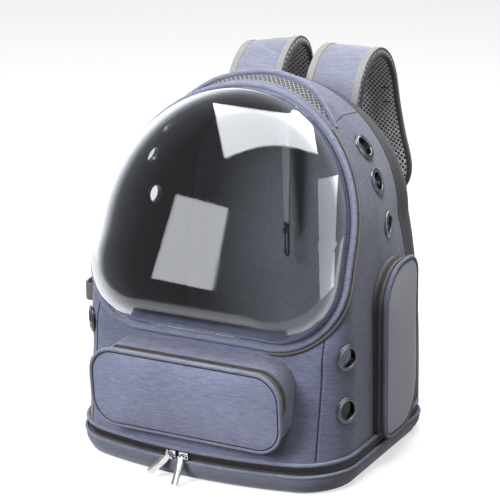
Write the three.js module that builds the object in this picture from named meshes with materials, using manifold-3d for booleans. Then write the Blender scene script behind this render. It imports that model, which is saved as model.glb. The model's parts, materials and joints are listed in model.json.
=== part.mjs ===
// A bubble pet carrier backpack: a stiffened fabric shell with a clear domed window, vent rings,
// zipped pockets, a zipped base, two padded shoulder straps, a side grab handle and a safety tether.
// Millimetres, +Z up, +X to the viewer's right, the window faces -Y. The origin is the centre of the
// base's underside.
import * as THREE from "three";
import { mergeVertices } from "three/addons/utils/BufferGeometryUtils.js";
import Module from "manifold-3d";

const wasm = await Module();
wasm.setup();

// Main sizes
const baseWidth = 338;
const baseDepth = 280;
const bodyHeight = 417;
const fabricWall = 3;
const seamGap = 0.3;

// Body: where the sides meet the round top, and where the side and top panels are sewn
const bodyFoot = 33;
const baseOverhang = 5;
const springHeight = 258;
const rearSeamY = 98;
const frontBow = 28;
const cornerSeamX = 140;
const lowerEdgeRadius = 45;
const upperEdgeRadius = 6;
const lowerEdgeHeight = 110;
const upperEdgeHeight = 230;
const rearEdgeRadius = 28;
const backPanelThickness = 12;

// Window panel: a plane that leans back from its foot
const windowFoot = 149;
const windowSetback = 45.4;
const windowLean = THREE.MathUtils.degToRad(24.26);
const windowCorner = 78;
const windowRim = 12;
const bubbleRise = 57.5;
const bubbleThickness = 2;
const bubbleFlange = 3;
const bubbleRoundness = 2.9;
const pipingRadius = 2.8;
const zipperBeadRadius = 1.7;
const windowZipperStartX = 78;
const windowZipperEndZ = 235;
const windowEdge = 5;

// Base
const baseRimHeight = 22;
const baseFloor = 5;
const baseToeIn = 16;
const baseCornerRadius = 50;
const baseRearRadius = 46;
const bandInset = 5;
const bandThickness = 2.4;

// Top vent
const ventHalfWidth = 102;
const ventDepth = 27;
const ventSheet = 1.5;
const ventPipingRadius = 3.4;
const ventCutDepth = 87;

// Vent rings
const ringHole = 10;
const ringBarrel = 1.4;
const ringFlange = 5.2;
const ringProud = 2.4;
const ringTail = 2.5;

// Front pocket, a wedge whose face stands upright
const frontPocketMargin = 50;
const frontPocketFoot = 49;
const frontPocketTop = 143;
const frontPocketCorner = 32;
const frontPocketProudFoot = 1;
const frontPocketProudTop = 7;
const frontPocketCrown = 5;
const frontPocketDepth = 60;
const frontPocketZipperRun = 27;
const frontPocketZipperDrop = 45;
const pocketWall = 2;
const pocketPiping = 2.2;
const pocketZipperWidth = 11;
const pocketZipperThickness = 1.6;
const pocketZipperInset = 3;

// Side pocket
const sidePocketSetback = 127;
const sidePocketWidth = 86;
const sidePocketFoot = 30;
const sidePocketTop = 233;
const sidePocketProud = 9;
const sidePocketCrown = 6;
const sidePocketDepth = 45;
const sidePocketZipperRun = 21;
const sidePocketLargeCorner = 38;
const sidePocketSmallCorner = 14;

// Shoulder straps
const strapWidth = 68;
const strapThickness = 11;
const strapApex = 424;
const strapSpread = 50;
const strapStandoff = 68;
const strapEndHeight = 258;
const strapEndTaper = 0.45;
const webbingWidth = 25;
const webbingThickness = 2;
const buckleThickness = 4;
const buckleBorder = 4.5;
const buckleHeight = 21;
const webbingTopBend = 165;
const webbingLowBend = 100;
const webbingTuck = 11.2;
const webbingStandoff = 2.4;
const anchorInset = 51;
const anchorHeight = 46;
const anchorThickness = 4;

// Side grab handle
const handleWidth = 20;
const handleThickness = 3;
const handleRise = 44;
const handleSetback = 88;
const handleLength = 100;
const handleTuck = 14;
const handleSteps = 12;
const handleHeight = 170;
const handleTilt = THREE.MathUtils.degToRad(15);

// Safety tether inside
const tetherWidth = 20;
const tetherThickness = 1.6;
const tetherY = 108;
const tetherFoot = 228;
const tetherTurn = THREE.MathUtils.degToRad(38);
const clipLength = 42;
const clipWidth = 13;
const clipWire = 3.2;

// Base zipper sliders and their pulls
const sliderPlaces = [
  { side: "left", x: -21, lean: THREE.MathUtils.degToRad(45), splay: THREE.MathUtils.degToRad(16) },
  { side: "right", x: -5, lean: THREE.MathUtils.degToRad(-2), splay: THREE.MathUtils.degToRad(37) },
];
const sliderLength = 11;
const sliderHeight = 9;
const sliderThickness = 3;
const bridgeRadius = 1;
const bridgeRise = 4.4;
const pullLength = 32;
const pullWidth = 8;
const pullThickness = 1.8;
const hingeClearance = 0.35;

// How finely round shapes are cut
const sideSteps = 5;
const archSteps = 9;
const edgeSteps = 3;
const tubeSides = 6;
const frontColumns = 6;

const { lerp, clamp, smoothstep } = THREE.MathUtils;
const vec = (x, y, z) => new THREE.Vector3(x, y, z);
const Z_AXIS = vec(0, 0, 1);

// Arch sections from front to back. y is a share of half the base depth, low and spring are half widths
// at the foot and at the spring line as shares of half the base width, top is a share of the body height.
const archSections = [
  { y: -1.2, low: 0.962, spring: 0.93, top: 0.981 },
  { y: -0.32, low: 0.962, spring: 0.93, top: 0.981 },
  { y: 0.16, low: 0.957, spring: 0.918, top: 0.983 },
  { y: 0.34, low: 0.955, spring: 0.895, top: 0.995 },
  { y: 0.7, low: 0.953, spring: 0.84, top: 0.972 },
  { y: 0.85, low: 0.953, spring: 0.862, top: 0.952 },
  { y: 1.0, low: 0.945, spring: 0.86, top: 0.93 },
];

// Vent rings of both sides: place along the arch (0 foot, 0.5 crown) and from the back (0) to the edge (1),
// and on round the edge (2). The stuffed bag leans a little, so the left lower pair sits further round.
const ringPlaces = [
  { name: "upper_1", along: 0.302, across: 0.62 },
  { name: "upper_2", along: 0.25, across: 0.585 },
  { name: "upper_3", along: 0.181, across: 0.4 },
  { name: "lower_1", along: 0.092, across: 1.2, leftAcross: 1.44 },
  { name: "lower_2", along: 0.046, across: 1.2, leftAcross: 1.44 },
];

// Strap route from the top of the back, over and down: x as a share of the spread, y of the reach,
// z as a share of the drop from the apex to the strap's end.
const strapRoute = [
  { x: 1.0, y: 0.56, z: 0.31 },
  { x: 1.0, y: 0.615, z: 0.15 },
  { x: 1.0, y: 0.71, z: 0.035 },
  { x: 1.02, y: 0.825, z: 0.0 },
  { x: 1.05, y: 0.925, z: 0.065 },
  { x: 1.09, y: 0.98, z: 0.2 },
  { x: 1.16, y: 1.0, z: 0.42 },
  { x: 1.3, y: 1.0, z: 0.64 },
  { x: 1.48, y: 0.99, z: 0.84 },
  { x: 1.56, y: 0.97, z: 1.0 },
];

// Triangle soup from grids and fans

function addQuad(soup, a, b, c, d) {
  soup.push(a, b, c, a, c, d);
}

function addGrid(soup, rows, closedRow) {
  for (let j = 0; j + 1 < rows.length; j++) {
    const n = rows[j].length;
    for (let i = 0; i < (closedRow ? n : n - 1); i++) {
      const k = (i + 1) % n;
      addQuad(soup, rows[j][i], rows[j][k], rows[j + 1][k], rows[j + 1][i]);
    }
  }
}

function addFan(soup, ring, pole, reversed) {
  ring.forEach((point, i) => {
    const next = ring[(i + 1) % ring.length];
    if (reversed) soup.push(next, point, pole);
    else soup.push(point, next, pole);
  });
}

// A flat or nearly flat outline filled in. It faces the way that the flattened outline turns.
function addCap(soup, outline, flatten) {
  const flat = outline.map(flatten);
  for (const [a, b, c] of THREE.ShapeUtils.triangulateShape(flat, [])) {
    soup.push(outline[a], outline[b], outline[c]);
  }
}

function geometryOf(soup) {
  const flat = new Float32Array(soup.length * 3);
  soup.forEach((p, i) => p.toArray(flat, i * 3));
  return new THREE.BufferGeometry().setAttribute("position", new THREE.BufferAttribute(flat, 3));
}

function solidOf(geometry) {
  const bare = geometry.index ? geometry.toNonIndexed() : geometry.clone();
  bare.deleteAttribute("normal");
  bare.deleteAttribute("uv");
  const merged = mergeVertices(bare, 1e-4);
  const vertProperties = new Float32Array(merged.attributes.position.array);
  const triVerts = new Uint32Array(merged.index.array);
  let solid = new wasm.Manifold(new wasm.Mesh({ numProp: 3, vertProperties, triVerts }));
  if (solid.volume() < 0) {
    for (let i = 0; i < triVerts.length; i += 3) {
      [triVerts[i], triVerts[i + 1]] = [triVerts[i + 1], triVerts[i]];
    }
    solid = new wasm.Manifold(new wasm.Mesh({ numProp: 3, vertProperties, triVerts }));
  }
  return solid;
}

function geometryFrom(solid) {
  const mesh = solid.getMesh();
  const geometry = new THREE.BufferGeometry();
  geometry.setAttribute("position", new THREE.BufferAttribute(new Float32Array(mesh.vertProperties), 3));
  geometry.setIndex(new THREE.BufferAttribute(new Uint32Array(mesh.triVerts), 1));
  const flat = geometry.toNonIndexed();
  flat.computeVertexNormals();
  return flat;
}

const solidFromSoup = (soup) => solidOf(geometryOf(soup));

function block(lowX, lowY, lowZ, highX, highY, highZ) {
  const box = new THREE.BoxGeometry(highX - lowX, highY - lowY, highZ - lowZ);
  box.translate((lowX + highX) / 2, (lowY + highY) / 2, (lowZ + highZ) / 2);
  return solidOf(box);
}

// The shape of the body

function sectionAt(y) {
  const share = (2 * y) / baseDepth;
  let k = 0;
  while (k + 2 < archSections.length && share > archSections[k + 1].y) k++;
  const [a, b] = [archSections[k], archSections[k + 1]];
  const t = clamp((share - a.y) / (b.y - a.y), 0, 1);
  return {
    low: (lerp(a.low, b.low, t) * baseWidth) / 2,
    spring: (lerp(a.spring, b.spring, t) * baseWidth) / 2,
    top: lerp(a.top, b.top, t) * bodyHeight,
  };
}

// A point of the arch at depth y. along runs from the right foot (0) over the crown (0.5) to the left foot (1).
const sideShare = sideSteps / (2 * (sideSteps + archSteps));
const footRunOn = 5;

function archPoint(along, y, inset) {
  const side = along > 0.5 ? -1 : 1;
  const q = Math.min(along, 1 - along);
  const { low, spring, top } = sectionAt(y);
  if (q < sideShare) {
    const t = q / sideShare;
    const z = lerp(bodyFoot - footRunOn, springHeight, t);
    const bulge = Math.max(0, (z - bodyFoot) / (springHeight - bodyFoot)) ** 3;
    return vec(side * (lerp(low, spring, bulge) - inset), y, z);
  }
  const angle = ((q - sideShare) / (0.5 - sideShare)) * (Math.PI / 2);
  const x = side * (spring - inset) * Math.cos(angle);
  return vec(x, y, springHeight + (top - inset - springHeight) * Math.sin(angle));
}

const baseFrontY = -baseDepth / 2;
const bodyFrontY = baseFrontY + baseOverhang;
const windowFootY = baseFrontY + windowSetback;
const bodyBackY = baseDepth / 2;

// The front surface: the window's plane, and below it a panel that bows forward.
function frontY(x, z) {
  if (z >= windowFoot) return windowFootY + (z - windowFoot) * Math.tan(windowLean);
  const t = (windowFoot - z) / (windowFoot - bodyFoot);
  const bow = frontBow * t * (1 - ((2 * x) / baseWidth) ** 2);
  return lerp(windowFootY, bodyFrontY + frontBow, t) - bow;
}

function edgeRadius(z) {
  return lerp(lowerEdgeRadius, upperEdgeRadius, smoothstep(z, lowerEdgeHeight, upperEdgeHeight));
}

const frontInset = (inset) => inset / Math.cos(windowLean);

// The skin: across runs round the rear edge (-1 to 0), to the front edge (1) and round that (2).
function skinPoint(along, across, inset) {
  const rear = rearEdgeRadius - inset;
  const rearY = bodyBackY - inset - rear;
  if (across < 0) {
    const turn = (-across * Math.PI) / 2;
    return archPoint(along, rearY + rear * Math.sin(turn), inset + rear * (1 - Math.cos(turn)));
  }
  let point = archPoint(along, 0, inset);
  const turn = (clamp(across - 1, 0, 1) * Math.PI) / 2;
  for (let pass = 0; pass < 8; pass++) {
    const radius = Math.max(edgeRadius(point.z) - inset, 1);
    const edgeY = frontY(point.x, point.z) + frontInset(inset);
    const y = across <= 1
      ? lerp(rearY, edgeY + radius, across)
      : edgeY + radius * (1 - Math.sin(turn));
    point = archPoint(along, y, inset + radius * (1 - Math.cos(turn)));
  }
  return point;
}

// Places along the arch, with one level at the window's foot.
function archStations() {
  const levels = [];
  for (let i = 0; i <= sideSteps; i++) levels.push((sideShare * i) / sideSteps);
  const footShare = (sideShare * (windowFoot - bodyFoot)) / (springHeight - bodyFoot);
  let nearest = 1;
  for (let i = 1; i < sideSteps; i++) {
    if (Math.abs(levels[i] - footShare) < Math.abs(levels[nearest] - footShare)) nearest = i;
  }
  levels[nearest] = footShare;
  for (let i = 1; i <= archSteps; i++) levels.push(lerp(sideShare, 0.5, i / archSteps));
  return levels;
}

// The body as a solid, inset all round. It runs on a little below its foot, to be cut there.
function bodySolid(inset) {
  const half = archStations();
  const stations = [...half, ...half.slice(0, -1).reverse().map((s) => 1 - s)];
  const acrossSteps = [-1, -2 / 3, -1 / 3, 0, 0.3, 0.6, 1];
  for (let i = 1; i <= edgeSteps; i++) acrossSteps.push(1 + i / edgeSteps);
  const rings = acrossSteps.map((t) => stations.map((s) => skinPoint(s, t, inset)));
  const soup = [];
  addGrid(soup, rings, false);
  const edge = rings.at(-1);
  const crown = half.length - 1;
  const rows = [];
  for (let i = 0; i < crown; i++) {
    const row = [edge[i]];
    for (let c = 1; c < frontColumns; c++) {
      const x = edge[i].x * (1 - (2 * c) / frontColumns);
      row.push(vec(x, frontY(x, edge[i].z) + frontInset(inset), edge[i].z));
    }
    row.push(edge[edge.length - 1 - i]);
    rows.push(row);
  }
  addGrid(soup, rows.map((row) => [...row].reverse()), false);
  const last = rows.at(-1);
  for (let c = 0; c < frontColumns; c++) soup.push(last[c + 1], last[c], edge[crown]);
  const backCap = [];
  addCap(backCap, rings[0], (p) => new THREE.Vector2(-p.x, p.z));
  const footOutline = [
    ...rings.map((ring) => ring[0]),
    ...rows[0].slice(1, -1),
    ...rings.map((ring) => ring.at(-1)).reverse(),
  ];
  const footCap = [];
  addCap(footCap, footOutline, (p) => new THREE.Vector2(p.x, -p.y));
  return solidFromSoup([...soup, ...backCap, ...footCap]);
}

const insideBody = (inset) => bodySolid(inset);
const clearOfBody = insideBody(-seamGap);

// Paths and sweeps

function smoothPath(points, count, closed) {
  return new THREE.CatmullRomCurve3(points, closed, "centripetal").getPoints(count);
}

// A profile of [sideways, upward] places carried along a path. ups gives the upward direction at each point.
function sweep(path, ups, profile, closed) {
  const n = path.length;
  const rings = path.map((point, i) => {
    const before = path[closed ? (i + n - 1) % n : Math.max(i - 1, 0)];
    const after = path[closed ? (i + 1) % n : Math.min(i + 1, n - 1)];
    const ahead = after.clone().sub(before).normalize();
    const up = ups[i].clone().addScaledVector(ahead, -ups[i].dot(ahead)).normalize();
    const side = ahead.clone().cross(up);
    const sized = typeof profile === "function" ? profile(i / (n - 1)) : profile;
    return sized.map(([u, v]) => point.clone().addScaledVector(side, u).addScaledVector(up, v));
  });
  if (closed) rings.push(rings[0]);
  const soup = [];
  addGrid(soup, rings, true);
  if (!closed) {
    const [first, last] = [rings[0], rings.at(-1)];
    for (let k = 1; k + 1 < first.length; k++) {
      soup.push(first[0], first[k + 1], first[k], last[0], last[k], last[k + 1]);
    }
  }
  return solidFromSoup(soup);
}

function roundProfile(radius, sides) {
  return Array.from({ length: sides }, (_, k) => {
    const angle = (2 * Math.PI * (k + 0.5)) / sides;
    return [radius * Math.cos(angle), radius * Math.sin(angle)];
  });
}

function flatProfile(width, thickness, chamfer) {
  const [w, t] = [width / 2, thickness / 2];
  const c = chamfer;
  return [[w, -t + c], [w, t - c], [w - c, t], [-w + c, t], [-w, t - c], [-w, -t + c], [-w + c, -t], [w - c, -t]];
}

const boxProfile = (width, thickness) => [
  [width / 2, -thickness / 2], [width / 2, thickness / 2], [-width / 2, thickness / 2], [-width / 2, -thickness / 2],
];

const tube = (path, ups, radius, closed) => sweep(path, ups, roundProfile(radius, tubeSides), closed);

// A plane to draw on: at gives a point in space, and extrude raises an outline from one height to another.
function plane(origin, across, upward) {
  const normal = across.clone().cross(upward).normalize();
  const at = (u, v, h = 0) => origin.clone().addScaledVector(across, u).addScaledVector(upward, v)
    .addScaledVector(normal, h);
  const loft = (levels) => {
    const rings = levels.map(({ outline, h }) => outline.map(([u, v]) => at(u, v, h)));
    const soup = [];
    addGrid(soup, rings, true);
    const count = levels[0].outline.length;
    const fill = (outline) => {
      const flat = outline.map(([u, v]) => new THREE.Vector2(u, v));
      return THREE.ShapeUtils.triangulateShape(flat, []);
    };
    for (const [a, b, c] of fill(levels[0].outline)) soup.push(rings[0][a], rings[0][c], rings[0][b]);
    for (const [a, b, c] of fill(levels.at(-1).outline)) {
      soup.push(rings.at(-1)[a % count], rings.at(-1)[b % count], rings.at(-1)[c % count]);
    }
    return solidFromSoup(soup);
  };
  const extrude = (outline, low, high) => loft([{ outline, h: low }, { outline, h: high }]);
  return { origin, across, upward, normal, at, loft, extrude };
}

// Outlines, as lists of [u, v] places turning anticlockwise

function inset(outline, distance) {
  const n = outline.length;
  return outline.map(([u, v], i) => {
    const [pu, pv] = outline[(i + n - 1) % n];
    const [nu, nv] = outline[(i + 1) % n];
    const before = new THREE.Vector2(u - pu, v - pv).normalize();
    const after = new THREE.Vector2(nu - u, nv - v).normalize();
    const mean = before.clone().add(after).normalize();
    const grow = distance / Math.max(mean.dot(after), 0.5);
    return [u - mean.y * grow, v + mean.x * grow];
  });
}

// A rectangle with a radius of its own at each corner: right foot, right top, left top, left foot.
function roundedRectangle(lowU, lowV, highU, highV, radii, steps) {
  const corners = [
    { u: highU, v: lowV, turn: -90, su: -1, sv: 1 },
    { u: highU, v: highV, turn: 0, su: -1, sv: -1 },
    { u: lowU, v: highV, turn: 90, su: 1, sv: -1 },
    { u: lowU, v: lowV, turn: 180, su: 1, sv: 1 },
  ];
  return corners.flatMap(({ u, v, turn, su, sv }, k) => {
    const radius = radii[k];
    return Array.from({ length: steps + 1 }, (_, i) => {
      const angle = THREE.MathUtils.degToRad(turn + (90 * i) / steps);
      return [u + su * radius + radius * Math.cos(angle), v + sv * radius + radius * Math.sin(angle)];
    });
  });
}

// The window panel

const windowPlane = plane(
  vec(0, windowFootY, windowFoot),
  vec(1, 0, 0),
  vec(0, Math.sin(windowLean), Math.cos(windowLean)),
);

function windowOutline(edge) {
  const half = [[0, edge], [38, edge]];
  const cornerU = archReach(windowFoot + windowCorner) - edge - (windowCorner - edge);
  const radius = windowCorner - edge;
  for (let i = 0; i <= 5; i++) {
    const angle = -Math.PI / 2 + ((Math.PI / 2) * i) / 5;
    half.push([cornerU + radius * Math.cos(angle), windowCorner + radius * Math.sin(angle)]);
  }
  for (let i = 0; i < archSteps; i++) {
    const angle = ((Math.PI / 2) * i) / archSteps;
    let rise = 0;
    let run = 0;
    let y = 0;
    for (let pass = 0; pass < 8; pass++) {
      const { spring, top } = sectionAt(y);
      run = (spring - edge) * Math.cos(angle);
      rise = springHeight + (top - edge - springHeight) * Math.sin(angle);
      y = frontY(0, rise);
    }
    const v = (rise - windowFoot) / Math.cos(windowLean);
    if (v > windowCorner + 8) half.push([run, v]);
  }
  const { top } = sectionAt(frontY(0, bodyHeight * 0.98));
  const apex = [0, (top - edge - windowFoot) / Math.cos(windowLean)];
  const mirrored = half.slice(1).reverse().map(([u, v]) => [-u, v]);
  return [...half, apex, ...mirrored];
}

function archReach(z) {
  const { low, spring } = sectionAt(frontY(0, z));
  const bulge = clamp((z - bodyFoot) / (springHeight - bodyFoot), 0, 1) ** 3;
  return lerp(low, spring, bulge);
}

// Materials

const material = (color, metalness = 0, roughness = 0.8, opacity = 1) => new THREE.MeshStandardMaterial({
  color, metalness, roughness, opacity, transparent: opacity < 1,
});
const wovenFabric = material(0x5f6a80);
const plainFabric = material(0x5a5e68);
const linedPanel = material(0x33363c);
const pipingFabric = material(0x69748c);
const zipperTape = material(0x2c2728);
const airMesh = material(0x2a2a2e);
const clearPlastic = material(0x8f959a, 0, 0.1, 0.35);
const chrome = material(0xc4c6c9, 1, 0.2);
const webbing = material(0x6a7075);
const hardPlastic = material(0x1d1d20, 0, 0.5);
const trayFabric = material(0x4a4f5a);

const group = new THREE.Group();
group.name = "bubble_pet_backpack";

function addPiece(name, solid, look) {
  const mesh = new THREE.Mesh(geometryFrom(solid), look);
  mesh.name = name;
  group.add(mesh);
  return solid;
}

// Shell pieces

const halfGap = seamGap / 2;
const backPanelFront = baseDepth / 2 - backPanelThickness;
const shell = insideBody(0).subtract(insideBody(fabricWall)).trimByPlane([0, 0, 1], bodyFoot);
const windowHole = windowPlane.extrude(windowOutline(windowRim), -30, 12);
const frontZone = (grow) => block(
  -cornerSeamX - grow, -baseDepth, 0,
  cornerSeamX + grow, -40, windowFoot + 34 + grow,
);

const floorPlane = plane(vec(0, 0, 0), vec(1, 0, 0), vec(0, 1, 0));

function archHeight(x, y, drop) {
  const { spring, top } = sectionAt(y);
  const share = Math.min(Math.abs(x) / (spring - drop), 1);
  return springHeight + (top - drop - springHeight) * Math.sqrt(1 - share ** 2);
}

function ventFront(x) {
  return frontY(0, archHeight(x, 0, 0)) + upperEdgeRadius + 3;
}

const ventCutFoot = bodyHeight - ventCutDepth;
const ventCutTop = bodyHeight + 20;

const ventRear = (x) => ventFront(x) + ventDepth * (1 - (x / ventHalfWidth) ** 2);

function ventOutline(grow) {
  const steps = 10;
  const xs = Array.from({ length: steps + 1 }, (_, i) => lerp(-ventHalfWidth, ventHalfWidth, i / steps));
  const front = xs.map((x) => [x, ventFront(x)]);
  const rear = xs.slice(1, -1).reverse().map((x) => [x, ventRear(x)]);
  return inset([...front, ...rear], -grow);
}

// Vent rings: where each sits on the skin and which way it faces
function ringSeat(place, side) {
  const step = 0.01;
  const at = (along, across) => skinPoint(along, across, 0);
  const across = side < 0 && place.leftAcross ? place.leftAcross : place.across;
  const seat = at(place.along, across);
  const alongSkin = at(place.along + step, across).sub(at(place.along - step, across));
  const acrossSkin = at(place.along, across + step).sub(at(place.along, across - step));
  const facing = alongSkin.cross(acrossSkin).normalize();
  if (facing.x < 0) facing.negate();
  return { seat: vec(seat.x * side, seat.y, seat.z), facing: vec(facing.x * side, facing.y, facing.z) };
}

const ringSides = 12;

function turned(profile, { seat, facing }) {
  const points = [...profile, profile[0]].map(([r, h]) => new THREE.Vector2(r, h));
  const geometry = new THREE.LatheGeometry(points, ringSides);
  geometry.applyQuaternion(new THREE.Quaternion().setFromUnitVectors(vec(0, 1, 0), facing));
  geometry.translate(seat.x, seat.y, seat.z);
  return geometry;
}

function barrel(radius, low, high, place) {
  return solidOf(turned([[0, low], [radius, low], [radius, high], [0, high]], place));
}

const ringTailAt = -(fabricWall + ringTail);
const ringProfile = [
  [ringHole, ringTailAt - 1.2],
  [ringHole + 3.2, ringTailAt - 1.2],
  [ringHole + 3.2, ringTailAt],
  [ringHole + ringBarrel, ringTailAt],
  [ringHole + ringBarrel, 0.35],
  [ringHole + ringFlange, 0.35],
  [ringHole + 0.6, ringProud],
];

const rings = ringPlaces.flatMap((place) => [1, -1].map((side) => ({
  name: `vent_ring_${side > 0 ? "right" : "left"}_${place.name}`,
  place: ringSeat(place, side),
})));
const ringBores = rings.flatMap(({ name, place }) => {
  const bores = [
    barrel(ringHole + ringBarrel + seamGap, -12, 4, place),
    barrel(ringHole + ringFlange + seamGap, 0.05, 8, place),
  ];
  if (name.includes("lower")) bores.push(barrel(ringHole + 3.2 + seamGap, -14, ringTailAt + seamGap, place));
  return bores;
});

const openShell = shell.subtract(windowHole)
  .subtract(floorPlane.extrude(ventOutline(0), ventCutFoot, ventCutTop))
  .subtract(wasm.Manifold.union(ringBores));

addPiece("front_panel", openShell.intersect(frontZone(-halfGap)), wovenFabric);
addPiece("side_and_top_panel", openShell.subtract(frontZone(halfGap))
  .trimByPlane([0, -1, 0], -(rearSeamY - halfGap)), wovenFabric);
addPiece("rear_side_panel", openShell
  .trimByPlane([0, 1, 0], rearSeamY + halfGap)
  .trimByPlane([0, -1, 0], -(backPanelFront - halfGap)), plainFabric);
addPiece("back_panel", insideBody(0)
  .trimByPlane([0, 0, 1], bodyFoot)
  .trimByPlane([0, 1, 0], backPanelFront + halfGap), linedPanel);

for (const { name, place } of rings) {
  addPiece(name, solidOf(turned(ringProfile, place)), chrome);
}

// Window bubble with its sewn flange
function windowBubble() {
  const flange = windowOutline(windowEdge);
  const outer = inset(flange, bubbleFlange);
  const inner = inset(outer, bubbleThickness);
  const centreV = 132;
  const layers = 6;
  const dome = (outline, rise) => Array.from({ length: layers }, (_, i) => {
    const angle = ((Math.PI / 2) * i) / layers;
    const share = Math.cos(angle) ** (2 / bubbleRoundness);
    const h = seamGap + rise * Math.sin(angle) ** (2 / bubbleRoundness);
    return outline.map(([u, v]) => windowPlane.at(u * share, centreV + (v - centreV) * share, h));
  });
  const level = (outline, h) => outline.map(([u, v]) => windowPlane.at(u, v, h));
  const inside = dome(inner, bubbleRise - bubbleThickness).reverse();
  const outside = dome(outer, bubbleRise);
  const flangeTop = seamGap + 1.5;
  outside[0] = level(outer, flangeTop);
  const loops = [...inside, level(flange, seamGap), level(flange, flangeTop), ...outside];
  const soup = [];
  addGrid(soup, loops, true);
  addFan(soup, loops[0], windowPlane.at(0, centreV, seamGap + bubbleRise - bubbleThickness), true);
  addFan(soup, loops.at(-1), windowPlane.at(0, centreV, seamGap + bubbleRise), false);
  return solidFromSoup(soup);
}
addPiece("window_bubble", windowBubble(), clearPlastic);

const pipingEdge = windowEdge - pipingRadius - seamGap;
const pipingPath = windowOutline(pipingEdge).map(([u, v]) => windowPlane.at(u, v, pipingRadius + 0.2));
addPiece("window_piping", tube(pipingPath, pipingPath.map(() => windowPlane.normal), pipingRadius, true)
  .subtract(clearOfBody), pipingFabric);

// The dark zipper line outside the piping, from the window's foot round its right side
const beadEdge = pipingEdge - pipingRadius - zipperBeadRadius - seamGap;
const beadPath = windowOutline(beadEdge)
  .map(([u, v]) => {
    const sideways = smoothstep(v, 0, 60);
    return windowPlane.at(u - sideways * 0.9, v, lerp(zipperBeadRadius + 0.3, -0.9, sideways));
  })
  .filter((p) => p.x > windowZipperStartX && p.z < windowZipperEndZ);
addPiece("window_zipper", tube(beadPath, beadPath.map(() => windowPlane.normal), zipperBeadRadius, false)
  .subtract(clearOfBody), zipperTape);

// Top vent and its rolled piping
const ventLayer = insideBody(0.6).subtract(insideBody(0.6 + ventSheet));
addPiece("top_vent_mesh", ventLayer.intersect(
  floorPlane.extrude(ventOutline(-seamGap), ventCutFoot, ventCutTop),
), airMesh);

const ventPipingGirth = (t) => ventPipingRadius * (0.3 + 0.7 * Math.sin(Math.PI * clamp(t, 0.03, 0.97)) ** 0.6);
const ventPipingPath = Array.from({ length: 13 }, (_, i) => {
  const x = lerp(-ventHalfWidth - 2, ventHalfWidth + 2, i / 12);
  const y = ventRear(x) + ventPipingRadius + 1.2;
  const out = Math.asin(clamp(x / 200, -1, 1));
  const lift = ventPipingGirth(i / 12) * 0.75;
  return vec(x + lift * Math.sin(out), y, archHeight(x, y, 0) + lift * Math.cos(out));
});
addPiece("top_vent_piping", sweep(
  ventPipingPath, ventPipingPath.map(() => vec(0, 1, 0)), (t) => roundProfile(ventPipingGirth(t), tubeSides), false,
).subtract(clearOfBody), pipingFabric);

// Base tray and zipper band

function baseOutline(distance) {
  const w = baseWidth / 2 - distance;
  const r = baseCornerRadius - distance;
  const yFront = (x) => -baseDepth / 2 + distance + frontBow * ((2 * x) / baseWidth) ** 2;
  const half = [];
  for (let i = 1; i <= 4; i++) half.push([((w - r) * i) / 4, yFront(((w - r) * i) / 4)]);
  for (let i = 1; i <= edgeSteps; i++) {
    const turn = (Math.PI / 2) * (1 - i / edgeSteps);
    const x = w - r * (1 - Math.cos(turn));
    half.push([x, yFront(x) + r * (1 - Math.sin(turn))]);
  }
  const rear = baseDepth / 2 - distance;
  const rearR = baseRearRadius - distance;
  for (let i = 0; i <= 4; i++) {
    const turn = (Math.PI / 8) * i;
    half.push([w - rearR * (1 - Math.cos(turn)), rear - rearR * (1 - Math.sin(turn))]);
  }
  return [[0, yFront(0)], ...half, ...half.slice().reverse().map(([x, y]) => [-x, y])];
}

const trayOuter = floorPlane.loft([
  { outline: baseOutline(baseToeIn), h: 0 },
  { outline: baseOutline(baseToeIn * 0.45), h: 4 },
  { outline: baseOutline(0.5), h: 13 },
  { outline: baseOutline(0), h: baseRimHeight },
]);
const trayInner = floorPlane.loft([
  { outline: baseOutline(baseToeIn * 0.8), h: baseFloor },
  { outline: baseOutline(fabricWall + 0.5), h: 14 },
  { outline: baseOutline(fabricWall), h: baseRimHeight - 3 },
  { outline: baseOutline(bandInset + 3.5), h: baseRimHeight - 2 },
  { outline: baseOutline(bandInset + 3.5), h: baseRimHeight + 1 },
]);
addPiece("base_tray", trayOuter.subtract(trayInner), trayFabric);
const bandLow = baseRimHeight + seamGap;
const bandHigh = bodyFoot - seamGap;
addPiece("base_zipper", floorPlane.extrude(baseOutline(bandInset), bandLow, bandHigh)
  .subtract(floorPlane.extrude(baseOutline(bandInset + bandThickness), bandLow - 1, bandHigh + 1)), zipperTape);

// Pockets: a crowned face, a wall behind it cut to the body, piping round the face and a zipper on the wall

const shrink = (outline, share, [cu, cv]) => outline.map(([u, v]) => [cu + (u - cu) * share, cv + (v - cv) * share]);

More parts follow.
